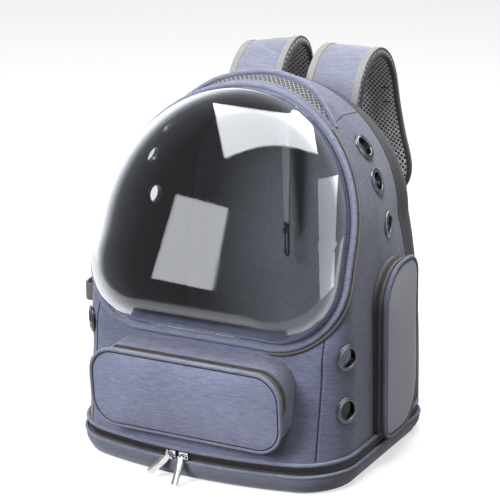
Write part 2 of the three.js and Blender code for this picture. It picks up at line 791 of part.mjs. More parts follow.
function addPocket(name, seat, full, crown, depth, faceLook, zipperZone) {
  const centre = [
    (Math.max(...full.map((p) => p[0])) + Math.min(...full.map((p) => p[0]))) / 2,
    (Math.max(...full.map((p) => p[1])) + Math.min(...full.map((p) => p[1]))) / 2,
  ];
  const wall = inset(full, 2 * pocketPiping + seamGap);
  const raised = (outline, drop) => seat.loft([
    { outline, h: -depth - drop },
    { outline, h: -drop },
    { outline: shrink(outline, 0.95, centre), h: crown * 0.42 - drop },
    { outline: shrink(outline, 0.8, centre), h: crown * 0.8 - drop },
    { outline: shrink(outline, 0.5, centre), h: crown - drop },
  ]);
  const hollow = raised(wall, 0).subtract(raised(inset(wall, pocketWall), pocketWall)).subtract(clearOfBody);
  const n = seat.normal;
  const level = n.dot(seat.origin) - pocketWall;
  addPiece(`${name}_face`, hollow.trimByPlane([n.x, n.y, n.z], level - halfGap), faceLook);
  addPiece(`${name}_wall`, hollow.trimByPlane([-n.x, -n.y, -n.z], -(level - halfGap - seamGap)), wovenFabric);
  const path = inset(full, pocketPiping).map(([u, v]) => seat.at(u, v, -1));
  addPiece(`${name}_piping`, tube(path, path.map(() => n), pocketPiping, true).subtract(clearOfBody), pipingFabric);
  const zipperTop = -1 - pocketPiping - pocketZipperInset;
  const band = seat.extrude(inset(full, 2 * pocketPiping - pocketZipperThickness), zipperTop - pocketZipperWidth, zipperTop)
    .subtract(seat.extrude(inset(full, 2 * pocketPiping), zipperTop - pocketZipperWidth - 1, zipperTop + 1));
  addPiece(`${name}_zipper`, band.intersect(zipperZone).subtract(clearOfBody), zipperTape);
}

const frontPocketHalfWidth = baseWidth / 2 - frontPocketMargin;
const frontPocketHeight = frontPocketTop - frontPocketFoot;
const frontPocketPlane = plane(
  vec(0, baseFrontY - frontPocketProudFoot, frontPocketFoot),
  vec(1, 0, 0),
  vec(0, frontPocketProudFoot - frontPocketProudTop, frontPocketHeight).normalize(),
);
addPocket(
  "front_pocket",
  frontPocketPlane,
  roundedRectangle(
    -frontPocketHalfWidth, 0, frontPocketHalfWidth, frontPocketHeight,
    [frontPocketCorner, frontPocketCorner, frontPocketCorner, frontPocketCorner], 3,
  ),
  frontPocketCrown,
  frontPocketDepth,
  wovenFabric,
  block(
    frontPocketZipperRun - frontPocketHalfWidth, 2 * baseFrontY, frontPocketTop - frontPocketZipperDrop,
    baseWidth, 0, bodyHeight,
  ),
);

const sidePocketFrontY = baseFrontY + sidePocketSetback;
const sidePocketRearY = sidePocketFrontY + sidePocketWidth;
const sidePocketPlane = plane(vec(baseWidth / 2 + sidePocketProud, 0, 0), vec(0, 1, 0), vec(0, 0, 1));
addPocket(
  "side_pocket",
  sidePocketPlane,
  roundedRectangle(
    sidePocketFrontY, sidePocketFoot, sidePocketRearY, sidePocketTop,
    [sidePocketLargeCorner, sidePocketSmallCorner, sidePocketLargeCorner, sidePocketSmallCorner], 3,
  ),
  sidePocketCrown,
  sidePocketDepth,
  plainFabric,
  block(0, baseFrontY, 0, baseWidth, sidePocketRearY - sidePocketZipperRun, bodyHeight),
);

// Shoulder straps with their lower webbing, buckles and anchors

const strapDrop = strapApex - strapEndHeight;
const strapReach = baseDepth / 2 + strapStandoff;

function addStrap(name, side, bank) {
  const route = strapRoute.map(({ x, y, z }) => vec(
    side * strapSpread * x,
    strapReach * y,
    strapApex - strapDrop * z,
  ));
  const path = smoothPath(route, 16, false);
  const ups = path.map((_, i) => {
    const ahead = path[Math.min(i + 1, path.length - 1)].clone().sub(path[Math.max(i - 1, 0)]).normalize();
    return vec(1, 0, 0).cross(ahead).applyAxisAngle(ahead, -bank * Math.sin((Math.PI * i) / (path.length - 1)));
  });
  const width = (t) => strapWidth * (t > 0.9 ? Math.sqrt(1 - (((t - 0.9) / 0.1) ** 2) * strapEndTaper) : 1);
  addPiece(`${name}_strap`, sweep(path, ups, (t) => flatProfile(width(t), strapThickness, 3), false)
    .subtract(clearOfBody), wovenFabric);
  const end = path.at(-1);
  const down = end.clone().sub(path.at(-2)).normalize();
  const across = vec(1, 0, 0).addScaledVector(down, -down.x).normalize();
  const buckleW = webbingWidth + 2 * buckleBorder;
  const seat = plane(end.clone().addScaledVector(down, seamGap), across, down.clone().negate());
  const bar = buckleBorder;
  const slotHeight = (buckleHeight - 3 * bar) / 2;
  const slot = (k) => {
    const top = -bar - k * (slotHeight + bar);
    const half = webbingWidth / 2 + 0.5;
    return seat.extrude([[-half, top - slotHeight], [half, top - slotHeight], [half, top], [-half, top]], -10, 10);
  };
  const half = buckleW / 2;
  addPiece(`${name}_buckle`, seat.extrude(
    [[-half, -buckleHeight], [half, -buckleHeight], [half, 0], [-half, 0]],
    -buckleThickness / 2, buckleThickness / 2,
  ).subtract(slot(0)).subtract(slot(1)), hardPlastic);
  const inward = seat.normal.y > 0 ? -1 : 1;
  const behind = inward * (buckleThickness / 2 + seamGap + webbingThickness / 2);
  const footX = side * (baseWidth / 2 - anchorInset);
  const footY = baseDepth / 2 + webbingStandoff;
  const webRoute = [
    seat.at(0, -buckleHeight + bar + 2, behind),
    seat.at(0, -buckleHeight - 4, behind),
    vec(lerp(end.x, footX, 0.35), lerp(end.y, footY, 0.28), webbingTopBend),
    vec(lerp(end.x, footX, 0.8), lerp(end.y, footY, 0.72), webbingLowBend),
    vec(footX, footY + webbingThickness, anchorHeight + 24),
    vec(footX, footY, anchorHeight + webbingTuck),
  ];
  const webPath = smoothPath(webRoute, 14, false);
  const webUps = webPath.map((_, i) => {
    const ahead = webPath[Math.min(i + 1, webPath.length - 1)].clone().sub(webPath[Math.max(i - 1, 0)]);
    return vec(1, 0, 0).cross(ahead.normalize());
  });
  addPiece(`${name}_webbing`, sweep(webPath, webUps, boxProfile(webbingWidth, webbingThickness), false)
    .subtract(clearOfBody), webbing);
  const back = baseDepth / 2 + seamGap;
  const anchorPlane = plane(vec(footX, back, anchorHeight), vec(-1, 0, 0), Z_AXIS);
  addPiece(`${name}_anchor`, anchorPlane.extrude(
    [[-22, -14], [22, -14], [15, 10], [-15, 10]], 0, anchorThickness,
  ), wovenFabric);
}
addStrap("left", -1, THREE.MathUtils.degToRad(11));
addStrap("right", 1, 0);

// Side grab handle
const handleHalf = handleLength / 2;
const handleMid = baseFrontY + handleSetback + handleHalf;
const handleRoot = handleTuck - baseWidth / 2;
const handlePath = Array.from({ length: handleSteps + 1 }, (_, i) => {
  const angle = (Math.PI * i) / handleSteps;
  const out = handleRise * Math.sin(angle) ** 0.8;
  return vec(handleRoot - out, handleMid - handleHalf * Math.cos(angle), handleHeight - out * Math.sin(handleTilt));
});
const handleUps = handlePath.map((p) => vec(p.x - handleRoot - 5, (p.y - handleMid) * 0.8, 0).normalize());
addPiece("side_handle", sweep(handlePath, handleUps, boxProfile(handleWidth, handleThickness), false)
  .subtract(clearOfBody), webbing);

// Safety tether and its clip

const tetherAcross = vec(Math.cos(tetherTurn), -Math.sin(tetherTurn), 0);
const tetherPlane = plane(vec(-4, tetherY, tetherFoot), tetherAcross, Z_AXIS);
const tetherHalf = tetherWidth / 2;
const tetherTop = bodyHeight - tetherFoot;
addPiece("tether_strap", tetherPlane.extrude(
  [[-tetherHalf * 0.6, 0], [tetherHalf * 0.6, 0], [tetherHalf, 70], [tetherHalf, tetherTop], [-tetherHalf, tetherTop],
    [-tetherHalf, 70]],
  -tetherThickness / 2, tetherThickness / 2,
).intersect(insideBody(fabricWall + seamGap)), webbing);

// The clip hangs below the strap. Its gate closes the left side of the loop and turns inwards.
const wireHalf = clipWire / 2;
const loopHalf = clipWidth / 2 - wireHalf;
const loopTop = -8;
const loopFoot = -clipLength + wireHalf;
const gatePivot = [-loopHalf, loopTop - 4];
const gateTipV = loopFoot + loopHalf + 2.5;
const gateThickness = 1.6;
const gatePinRadius = 0.7;
const earSide = 5.4;
const loopPath = [[-loopHalf, loopTop - 1.2], [-loopHalf * 0.6, loopTop + 1.6], [0, loopTop + 2.6],
  [loopHalf * 0.7, loopTop + 1.2], [loopHalf, loopTop - 3], [loopHalf, (loopTop + loopFoot) / 2],
  [loopHalf, loopFoot + loopHalf], [loopHalf * 0.7, loopFoot + loopHalf * 0.3], [0, loopFoot],
  [-loopHalf * 0.7, loopFoot + loopHalf * 0.3], [-loopHalf, loopFoot + loopHalf], [-loopHalf, gateTipV]]
  .map(([u, v]) => tetherPlane.at(u, v, 0));
const square = (u, v, half) => [[u - half, v - half], [u + half, v - half], [u + half, v + half], [u - half, v + half]];
const disc = (u, v, radius, count) => Array.from({ length: count }, (_, k) => {
  const angle = (2 * Math.PI * k) / count;
  return [u + radius * Math.cos(angle), v + radius * Math.sin(angle)];
});
const clipNeck = tetherPlane.extrude(
  [[-4, loopTop + 2], [4, loopTop + 2], [5.5, -seamGap], [-5.5, -seamGap]], -wireHalf, wireHalf,
);
const clipEars = tetherPlane.extrude(square(...gatePivot, earSide / 2), -2, 2)
  .subtract(tetherPlane.extrude(
    [[-20, gatePivot[1] - 8], [20, gatePivot[1] - 8], [20, gatePivot[1] + 1.9], [-20, gatePivot[1] + 1.9]],
    -gateThickness / 2 - hingeClearance, gateThickness / 2 + hingeClearance,
  ));
const gatePin = tetherPlane.extrude(disc(...gatePivot, gatePinRadius, 8), -1.9, 1.9);
const clipLoop = tube(loopPath, loopPath.map(() => tetherPlane.normal), wireHalf, false)
  .subtract(tetherPlane.extrude(square(...gatePivot, earSide / 2 - 0.2), -3, 3));
addPiece("tether_clip", wasm.Manifold.union([clipLoop, clipNeck, clipEars, gatePin]), hardPlastic);
const gateHalf = 1.1;
addPiece("tether_clip_gate", tetherPlane.extrude(disc(...gatePivot, 1.7, 8), -gateThickness / 2, gateThickness / 2)
  .add(tetherPlane.extrude([
    [gatePivot[0] - gateHalf, gateTipV + hingeClearance],
    [gatePivot[0] + gateHalf, gateTipV + hingeClearance],
    [gatePivot[0] + gateHalf, gatePivot[1]],
    [gatePivot[0] - gateHalf, gatePivot[1]],
  ], -gateThickness / 2, gateThickness / 2))
  .subtract(tetherPlane.extrude(disc(...gatePivot, gatePinRadius + 0.1, 8), -3, 3)), chrome);

// Base zipper sliders and their pulls

function addSlider({ side, x, lean, splay }) {
  const bandFace = -baseDepth / 2 + bandInset + frontBow * ((2 * x) / baseWidth) ** 2;
  const faceY = bandFace - 0.6;
  const centreZ = (bandLow + bandHigh) / 2;
  const across = vec(Math.cos(lean), 0, -Math.sin(lean));
  const upward = vec(Math.sin(lean), 0, Math.cos(lean));
  const seat = plane(vec(x, faceY, centreZ), across, upward);
  const front = plane(vec(x, faceY, centreZ), vec(1, 0, 0), Z_AXIS);
  const body = front.extrude(
    [[-sliderLength / 2, -sliderHeight / 2], [sliderLength / 2, -sliderHeight / 2],
      [sliderLength / 2, sliderHeight / 2], [-sliderLength / 2, sliderHeight / 2]],
    0, sliderThickness,
  );
  const barAt = sliderThickness + bridgeRise - bridgeRadius;
  const barHalf = 4.9;
  const barPlane = plane(seat.at(0, 0, barAt), upward, seat.normal.clone());
  const round = (radius, half, count) => barPlane.extrude(disc(0, 0, radius, count), -half, half);
  const post = (u) => seat.extrude(
    [[u - 0.8, -1.4], [u + 0.8, -1.4], [u + 0.8, 1.4], [u - 0.8, 1.4]], sliderThickness - 0.5, barAt + bridgeRadius,
  );
  addPiece(`zip_slider_${side}`, wasm.Manifold.union([
    body, post(-barHalf + 0.8), post(barHalf - 0.8), round(bridgeRadius, barHalf - 0.5, 8),
  ]), chrome);
  const eye = round(bridgeRadius + 1.1, barHalf - 1.6 - hingeClearance, 10);
  const top = -0.5;
  const neck = barHalf - 1.6 - hingeClearance;
  const hanging = upward.clone().multiplyScalar(Math.cos(splay)).addScaledVector(seat.normal, -Math.sin(splay));
  const plate = plane(seat.at(0, 0, barAt), across, hanging).extrude([
    [-neck, top], [-neck, -4], [-pullWidth / 2, -7], [-pullWidth / 2, -pullLength + 2],
    [-pullWidth / 2 + 2, -pullLength], [pullWidth / 2 - 2, -pullLength],
    [pullWidth / 2, -pullLength + 2], [pullWidth / 2, -7], [neck, -4], [neck, top],
  ], -pullThickness / 2, pullThickness / 2);
  const eyeBore = round(bridgeRadius + 0.08, barHalf + 3, 8);
  addPiece(`zip_pull_${side}`, eye.add(plate).subtract(eyeBore), chrome);
}
sliderPlaces.forEach(addSlider);

export default group;
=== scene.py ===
import json
import math

import bmesh
import bpy
import numpy as np
from mathutils import Matrix, Vector, noise
from mathutils.bvhtree import BVHTree
from mathutils.interpolate import poly_3d_calc

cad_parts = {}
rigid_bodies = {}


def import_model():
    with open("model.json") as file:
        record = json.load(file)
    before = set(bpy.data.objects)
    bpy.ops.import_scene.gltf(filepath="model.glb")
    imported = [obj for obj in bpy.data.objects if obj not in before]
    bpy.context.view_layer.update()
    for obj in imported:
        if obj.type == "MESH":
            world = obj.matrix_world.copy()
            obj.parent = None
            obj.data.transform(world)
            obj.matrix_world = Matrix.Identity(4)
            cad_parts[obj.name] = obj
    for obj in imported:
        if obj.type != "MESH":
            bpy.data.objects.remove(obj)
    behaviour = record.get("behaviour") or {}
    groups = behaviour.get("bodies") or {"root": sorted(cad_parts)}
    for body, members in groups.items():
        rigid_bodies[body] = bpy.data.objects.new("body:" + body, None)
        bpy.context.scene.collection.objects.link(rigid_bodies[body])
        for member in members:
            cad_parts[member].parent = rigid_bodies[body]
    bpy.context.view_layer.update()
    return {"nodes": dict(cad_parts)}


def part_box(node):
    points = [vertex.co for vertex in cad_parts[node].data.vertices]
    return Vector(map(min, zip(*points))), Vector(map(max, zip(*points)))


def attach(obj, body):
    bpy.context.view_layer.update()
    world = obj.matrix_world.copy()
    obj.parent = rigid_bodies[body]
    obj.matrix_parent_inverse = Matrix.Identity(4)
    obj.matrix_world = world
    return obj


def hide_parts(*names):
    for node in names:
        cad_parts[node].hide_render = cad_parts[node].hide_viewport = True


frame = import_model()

# A pet carrier backpack with a clear domed window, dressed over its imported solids.
# Lengths are millimetres until a mesh is made. +Z up, the window faces -Y.

BAG = "bag"

# Main sizes, as in the solids
BASE_WIDTH = 338.0
BASE_DEPTH = 280.0
BODY_HEIGHT = 417.0
WALL = 3.0
BODY_FOOT = 33.0
BASE_OVERHANG = 5.0
SPRING = 258.0
REAR_SEAM = 98.0
PANEL_BACK = 128.0
FRONT_BOW = 28.0
CORNER_SEAM = 140.0
LOWER_EDGE = 45.0
UPPER_EDGE = 6.0
LOWER_EDGE_Z = 110.0
UPPER_EDGE_Z = 230.0
REAR_EDGE = 28.0
WINDOW_FOOT = 149.0
WINDOW_Y = -BASE_DEPTH / 2 + 45.4
LEAN = math.radians(24.26)
WINDOW_CORNER = 78.0
WINDOW_RIM = 12.0
WINDOW_EDGE = 5.0
BUBBLE_RISE = 57.5
BUBBLE_ROUND = 2.9
VENT_HALF = 102.0
VENT_DEPTH = 27.0
RING_BORE = 12.2
BASE_CORNER = 50.0
BASE_REAR_CORNER = 46.0
BASE_ZIP_HEIGHT = 27.6
ROLL_RADIUS = 2.9
ROLL_OUTSIDE = 3.1
PLASTIC_WALL = 1.5

# Share of the arch's length that each side takes, half the gap at a seam, and a reach beyond the bag
SIDE_SHARE = 0.18
SEAM_HALF = 0.3
FAR = 400.0
PHOTO_SIZE = 500

# Arch sections from front to back: y as a share of half the base depth, half widths at the foot and at the
# spring line as shares of half the base width, top as a share of the body height.
SECTIONS = np.array([
    (-1.2, 0.962, 0.93, 0.981),
    (-0.32, 0.962, 0.93, 0.981),
    (0.16, 0.957, 0.918, 0.983),
    (0.34, 0.955, 0.895, 0.995),
    (0.7, 0.953, 0.84, 0.972),
    (0.85, 0.953, 0.862, 0.952),
    (1.0, 0.945, 0.86, 0.93),
])


# The body's shape

def section(y):
    """Half widths at the foot and at the spring line, and the crown's height, at a depth."""
    share = 2 * np.asarray(y, float) / BASE_DEPTH
    low, spring, top = (np.interp(share, SECTIONS[:, 0], SECTIONS[:, k]) for k in (1, 2, 3))
    return low * BASE_WIDTH / 2, spring * BASE_WIDTH / 2, top * BODY_HEIGHT


def arch(along, y, inset):
    """x and z of the body's arch at a depth: right foot 0, crown 0.5, left foot 1."""
    along = np.asarray(along, float)
    side = np.where(along > 0.5, -1.0, 1.0)
    q = np.minimum(along, 1 - along)
    low, spring, top = section(y)
    z_low = BODY_FOOT + (SPRING - BODY_FOOT) * q / SIDE_SHARE
    bulge = np.clip((z_low - BODY_FOOT) / (SPRING - BODY_FOOT), 0, 1) ** 3
    x_low = low + (spring - low) * bulge - inset
    angle = np.clip((q - SIDE_SHARE) / (0.5 - SIDE_SHARE), 0, 1) * math.pi / 2
    x_high = (spring - inset) * np.cos(angle)
    z_high = SPRING + (top - inset - SPRING) * np.sin(angle)
    below = q < SIDE_SHARE
    return side * np.where(below, x_low, x_high), np.where(below, z_low, z_high)


def smooth(v, a, b):
    t = np.clip((v - a) / (b - a), 0, 1)
    return t * t * (3 - 2 * t)


def front_y(x, z):
    """The front face: bowed below the window's foot, flat and leaning back above it."""
    x = np.asarray(x, float)
    z = np.asarray(z, float)
    t = (WINDOW_FOOT - z) / (WINDOW_FOOT - BODY_FOOT)
    bow = FRONT_BOW * t * (1 - (2 * x / BASE_WIDTH) ** 2)
    foot = -BASE_DEPTH / 2 + BASE_OVERHANG + FRONT_BOW
    lower = WINDOW_Y + (foot - WINDOW_Y) * t - bow
    upper = WINDOW_Y + (z - WINDOW_FOOT) * math.tan(LEAN)
    return np.where(z >= WINDOW_FOOT, upper, lower)


def edge_radius(z):
    return LOWER_EDGE + (UPPER_EDGE - LOWER_EDGE) * smooth(z, LOWER_EDGE_Z, UPPER_EDGE_Z)


def skin(along, across, inset=0.0):
    """Points of the skin. along runs right foot 0, crown 0.5, left foot 1. across runs -1 rear face, 0, 1
    front edge, 2 front face."""
    along, across = np.broadcast_arrays(np.asarray(along, float), np.asarray(across, float))
    rear = REAR_EDGE - inset
    rear_y = BASE_DEPTH / 2 - inset - rear
    back_turn = np.clip(-across, 0, 1) * math.pi / 2
    yb = rear_y + rear * np.sin(back_turn)
    xb, zb = arch(along, yb, inset + rear * (1 - np.cos(back_turn)))
    turn = np.clip(across - 1, 0, 1) * math.pi / 2
    x, z = arch(along, 0, inset)
    y = np.zeros_like(x)
    for _ in range(9):
        radius = np.maximum(edge_radius(z) - inset, 1)
        edge = front_y(x, z) + inset / math.cos(LEAN)
        y = np.where(across <= 1, rear_y + (edge + radius - rear_y) * np.clip(across, 0, 1),
                     edge + radius * (1 - np.sin(turn)))
        x, z = arch(along, y, inset + radius * (1 - np.cos(turn)))
    behind = across < 0
    return np.stack([np.where(behind, xb, x), np.where(behind, yb, y), np.where(behind, zb, z)], -1)


# Meshes

def unit(v):
    v = np.asarray(v, float)
    return v / np.linalg.norm(v, axis=-1, keepdims=True)


def lengths(points):
    """Distances along a line of points, from the first."""
    return np.concatenate([[0], np.cumsum(np.linalg.norm(np.diff(points, axis=0), axis=1))])


def points_at(at, length, points):
    return np.stack([np.interp(at, length, points[:, k]) for k in range(points.shape[1])], -1)


def fan(ring, shares=(1.0, 0.5, 0.0)):
    """Rings that shrink to the middle of a ring, to close it."""
    middle = ring.mean(0)
    return np.stack([middle + (ring - middle) * s for s in shares]), True


def mesh_object(name, verts, faces, scale=0.001):
    mesh = bpy.data.meshes.new(name)
    places = [tuple(v) for v in np.asarray(verts, float) * scale]
    mesh.from_pydata(places, [], [tuple(map(int, f)) for f in faces])
    mesh.update()
    obj = bpy.data.objects.new(name, mesh)
    bpy.context.scene.collection.objects.link(obj)
    return obj


def merged(obj):
    """Welds a mesh and turns its faces outward."""
    distance = 1e-6
    bm = bmesh.new()
    bm.from_mesh(obj.data)
    bmesh.ops.remove_doubles(bm, verts=bm.verts, dist=distance)
    bmesh.ops.dissolve_degenerate(bm, edges=bm.edges, dist=distance)
    bmesh.ops.recalc_face_normals(bm, faces=bm.faces)
    bm.to_mesh(obj.data)
    bm.free()
    return obj


def grid_faces(rows, cols, start=0, wrap=False):
    faces = []
    for j in range(rows - 1):
        for i in range(cols if wrap else cols - 1):
            k = (i + 1) % cols
            faces.append((start + j * cols + i, start + j * cols + k, start + (j + 1) * cols + k,
                          start + (j + 1) * cols + i))
    return faces


def grids(name, parts):
    """One object from several point grids of shape (rows, cols, 3), welded where they meet. The first grid's
    lengths, across and along, go into a UV map in metres."""
    verts, faces, places = [], [], []
    for points, wrap in parts:
        rows, cols = points.shape[:2]
        faces += grid_faces(rows, cols, len(verts), wrap)
        verts += list(points.reshape(-1, 3))
        across = np.cumsum(np.linalg.norm(np.diff(points, axis=1, prepend=points[:, :1]), axis=2), axis=1)
        along = np.cumsum(np.linalg.norm(np.diff(points, axis=0, prepend=points[:1]), axis=2), axis=0)
        along = np.broadcast_to(np.median(along, axis=1)[:, None], across.shape)
        places += list(np.stack([across - across[:, -1:] / 2, along], -1).reshape(-1, 2) / 1000)
    obj = mesh_object(name, verts, faces)
    layer = obj.data.uv_layers.new(name="weave")
    order = np.zeros(len(obj.data.loops), int)
    obj.data.loops.foreach_get("vertex_index", order)
    layer.data.foreach_set("uv", np.array(places)[order].ravel())
    return merged(obj)


def shade(obj, angle=40):
    for p in obj.data.polygons:
        p.use_smooth = True
    obj.data.set_sharp_from_angle(angle=math.radians(angle))
    return obj


def body_solid(name, inset):
    """The body as a closed mesh, inset all round."""
    half = np.concatenate([np.linspace(0, SIDE_SHARE, 26)[:-1], np.linspace(SIDE_SHARE, 0.5, 42)])
    stations = np.concatenate([half, 1 - half[-2::-1]])
    across = np.concatenate([np.linspace(-1, 0, 9)[:-1], np.linspace(0, 1, 30)[:-1], np.linspace(1, 2, 9)])
    wrap = skin(stations[None, :], across[:, None], inset)
    shares = np.linspace(0, 1, 41)[None, :, None]

    def bridge(right, left):
        return right[:, None] * (1 - shares) + left[:, None] * shares

    back, front = (bridge(row[:len(half)], row[::-1][:len(half)]) for row in (wrap[0], wrap[-1]))
    front[:, 1:-1, 1] = front_y(front[:, 1:-1, 0], front[:, 1:-1, 2]) + inset / math.cos(LEAN)
    foot = bridge(wrap[:, 0], wrap[:, -1])
    foot[-1] = front[0]
    return grids(name, [(wrap, False), (back, False), (front, False), (foot, False)])


def applied(obj):
    """Makes a piece's modifiers its mesh."""
    deps = bpy.context.evaluated_depsgraph_get()
    mesh = bpy.data.meshes.new_from_object(obj.evaluated_get(deps))
    obj.modifiers.clear()
    obj.data = mesh
    return obj


def cut(obj, cutters, operation="DIFFERENCE"):
    """Cuts a closed mesh by others, or keeps what it shares with them."""
    for cutter in cutters:
        m = obj.modifiers.new("cut", "BOOLEAN")
        m.operation, m.object, m.solver = operation, cutter, "MANIFOLD"
    bpy.context.view_layer.update()
    return applied(obj)


def drop(*objs):
    for o in objs:
        mesh = o.data
        bpy.data.objects.remove(o)
        bpy.data.meshes.remove(mesh)


def copy_of(obj, name):
    other = obj.copy()
    other.data = obj.data.copy()
    other.name = name
    bpy.context.scene.collection.objects.link(other)
    return other


def block(lo, hi):
    x, y, z = zip(lo, hi)
    verts = [(a, b, c) for c in z for b in y for a in x]
    faces = [(0, 2, 3, 1), (4, 5, 7, 6), (0, 1, 5, 4), (2, 6, 7, 3), (0, 4, 6, 2), (1, 3, 7, 5)]
    return merged(mesh_object("cutter", verts, faces))


class Plane:
    """A plane to draw on: across and upward in it, normal out of it."""

    def __init__(self, origin, across, upward):
        self.origin = np.array(origin, float)
        self.across, self.upward = unit(across), unit(upward)
        self.normal = np.cross(self.across, self.upward)

    def at(self, uv, h=0.0):
        uv = np.asarray(uv, float)
        h = np.asarray(h, float)
        return (self.origin + uv[..., :1] * self.across + uv[..., 1:2] * self.upward
                + h[..., None] * self.normal)

    def loft(self, name, levels):
        rings = [self.at(o, h) for o, h in levels]
        shares = (1.0, 0.66, 0.33, 0.0)
        return grids(name, [(np.stack(rings), True), fan(rings[0], shares), fan(rings[-1], shares)])


def inset(outline, distance):
    """A closed outline moved inwards along its corners' mean normals."""
    o = np.asarray(outline, float)
    before = unit(o - np.roll(o, 1, 0))
    after = unit(np.roll(o, -1, 0) - o)
    mean = unit(before + after)
    grow = distance / np.maximum((mean * after).sum(1), 0.5)
    return o + np.stack([-mean[:, 1], mean[:, 0]], 1) * grow[:, None]


def resampled(outline, step):
    """A closed outline with even steps."""
    p = looped(outline)
    length = lengths(p)
    count = max(int(round(length[-1] / step)), 3)
    return points_at(np.linspace(0, length[-1], count + 1), length, p)[:-1]


def rounded(lo, hi, radii, steps=10):
    """A rectangle with a radius at each corner: right foot, right top, left top, left foot."""
    (lu, lv), (hu, hv) = lo, hi
    corners = [(hu, lv, -90, -1, 1), (hu, hv, 0, -1, -1), (lu, hv, 90, 1, -1), (lu, lv, 180, 1, 1)]
    out = []
    for (u, v, turn, su, sv), r in zip(corners, radii):
        for i in range(steps + 1):
            a = math.radians(turn + 90 * i / steps)
            out.append((u + su * r + r * math.cos(a), v + sv * r + r * math.sin(a)))
    return np.array(out)


def curved(points, count):
    """A smooth curve through the points, evenly spaced."""
    p = np.asarray(points, float)
    ends = np.vstack([2 * p[0] - p[1], p, 2 * p[-1] - p[-2]])
    fine = []
    for i in range(len(p) - 1):
        a, b, c, d = ends[i:i + 4]
        for t in np.linspace(0, 1, 24, endpoint=False):
            fine.append(0.5 * (2 * b + (c - a) * t + (2 * a - 5 * b + 4 * c - d) * t ** 2
                               + (3 * b - a - 3 * c + d) * t ** 3))
    fine.append(p[-1])
    fine = np.array(fine)
    length = lengths(fine)
    return points_at(np.linspace(0, length[-1], count), length, fine)


def frames_along(path, ups, closed=False):
    """The upward and sideways directions at each point of a path."""
    ups = np.broadcast_to(np.asarray(ups, float), path.shape)
    ahead = unit(np.roll(path, -1, 0) - np.roll(path, 1, 0) if closed else np.gradient(path, axis=0))
    up = unit(ups - (ups * ahead).sum(1)[:, None] * ahead)
    return up, np.cross(ahead, up)


def looped(points):
    """A closed path with its first point again at the end."""
    return np.vstack([points, points[:1]])


def sweep(name, path, ups, profile, closed=False):
    """A closed profile of (sideways, upward) places carried along a path. The profile may be a list of
    profiles, one for each point."""
    up, side = frames_along(path, ups, closed)
    profile = np.asarray(profile, float)
    if profile.ndim == 2:
        profile = np.repeat(profile[None], len(path), 0)
    rings = path[:, None] + profile[:, :, :1] * side[:, None] + profile[:, :, 1:2] * up[:, None]
    if closed:
        return grids(name, [(looped(rings), True)])
    return grids(name, [(rings, True), fan(rings[0]), fan(rings[-1])])


def circle(radius, sides=14):
    a = 2 * math.pi * np.arange(sides) / sides
    return np.stack([radius * np.cos(a), radius * np.sin(a)], 1)


def tube(name, path, radius, up=(0, 0, 1), closed=False, sides=14):
    return sweep(name, path, up, circle(radius, sides), closed)


def band_profile(width, thickness, round_off):
    """A flat rounded band, anticlockwise, for straps and webbing."""
    w, t, r = width / 2, thickness / 2, min(round_off, thickness / 2 - 0.01)
    out = []
    for u, v, turn in ((w, -t, -90), (w, t, 0), (-w, t, 90), (-w, -t, 180)):
        for i in range(5):
            a = math.radians(turn + 22.5 * i)
            out.append((u - math.copysign(r, u) + r * math.cos(a),
                        v - math.copysign(r, v) + r * math.sin(a)))
    return np.array(out)


def scaled(outline, share, centre):
    return centre + (np.asarray(outline) - centre) * share


def stitches(name, path, ups, length=2.6, gap=1.6, width=0.75, rise=0.35, lift=0.0):
    """A row of short raised threads along a path."""
    ups = np.broadcast_to(np.asarray(ups, float), path.shape)
    steps = lengths(path)
    verts, faces = [], []
    for start in np.arange(gap, steps[-1] - length, length + gap):
        a, b = points_at(start, steps, path), points_at(start + length, steps, path)
        up = unit(points_at(start + length / 2, steps, ups))
        side = np.cross(unit(b - a), up) * width / 2
        near, far = a * 0.75 + b * 0.25, b * 0.75 + a * 0.25
        n = len(verts)
        verts += [p + up * lift for p in (a, near + side, far + side, b, far - side, near - side)]
        verts.append((a + b) / 2 + up * (rise + lift))
        faces += [(n + k, n + (k + 1) % 6, n + 6) for k in range(6)]
    return shade(mesh_object(name, verts, faces), 80)


def zip_band(name, path, outward, width, closed=False, clear=(), nodes=(), coil=1.15):
    """A zipper: a tape whose face looks outward, two coil ridges along its middle and a stitch row each
    side."""
    up, side = frames_along(path, outward, closed)
    tape = cut(sweep(f"{name}_tape", path, outward, band_profile(width, 1.4, 0.4), closed), clear)
    coils, rows = [], []
    for k in (-1, 1):
        ridge = path + up * 0.75 + side * (k * coil * 1.12)
        coils.append(tube(f"{name}_coil", ridge, coil, up, closed, 10))
        line = path + side * (k * (width / 2 - 1.3)) + up * 0.7
        line, ups = (looped(line), looped(up)) if closed else (line, up)
        rows.append(stitches(f"{name}_stitch", line, ups, 2.2, 1.4, 0.6, 0.25))
    line = joined(f"{name}_line", coils)
    finish_piece(tape, ZIP_TAPE, nodes)
    finish_piece(line, ZIP_COIL)
    finish_piece(joined(f"{name}_thread", rows), DARK_THREAD, angle=80)


def joined(name, objs):
    """Several meshes as one object."""
    bm = bmesh.new()
    for o in objs:
        bm.from_mesh(o.data)
    mesh = bpy.data.meshes.new(name)
    bm.to_mesh(mesh)
    bm.free()
    drop(*objs)
    obj = bpy.data.objects.new(name, mesh)
    bpy.context.scene.collection.objects.link(obj)
    return obj


# Materials

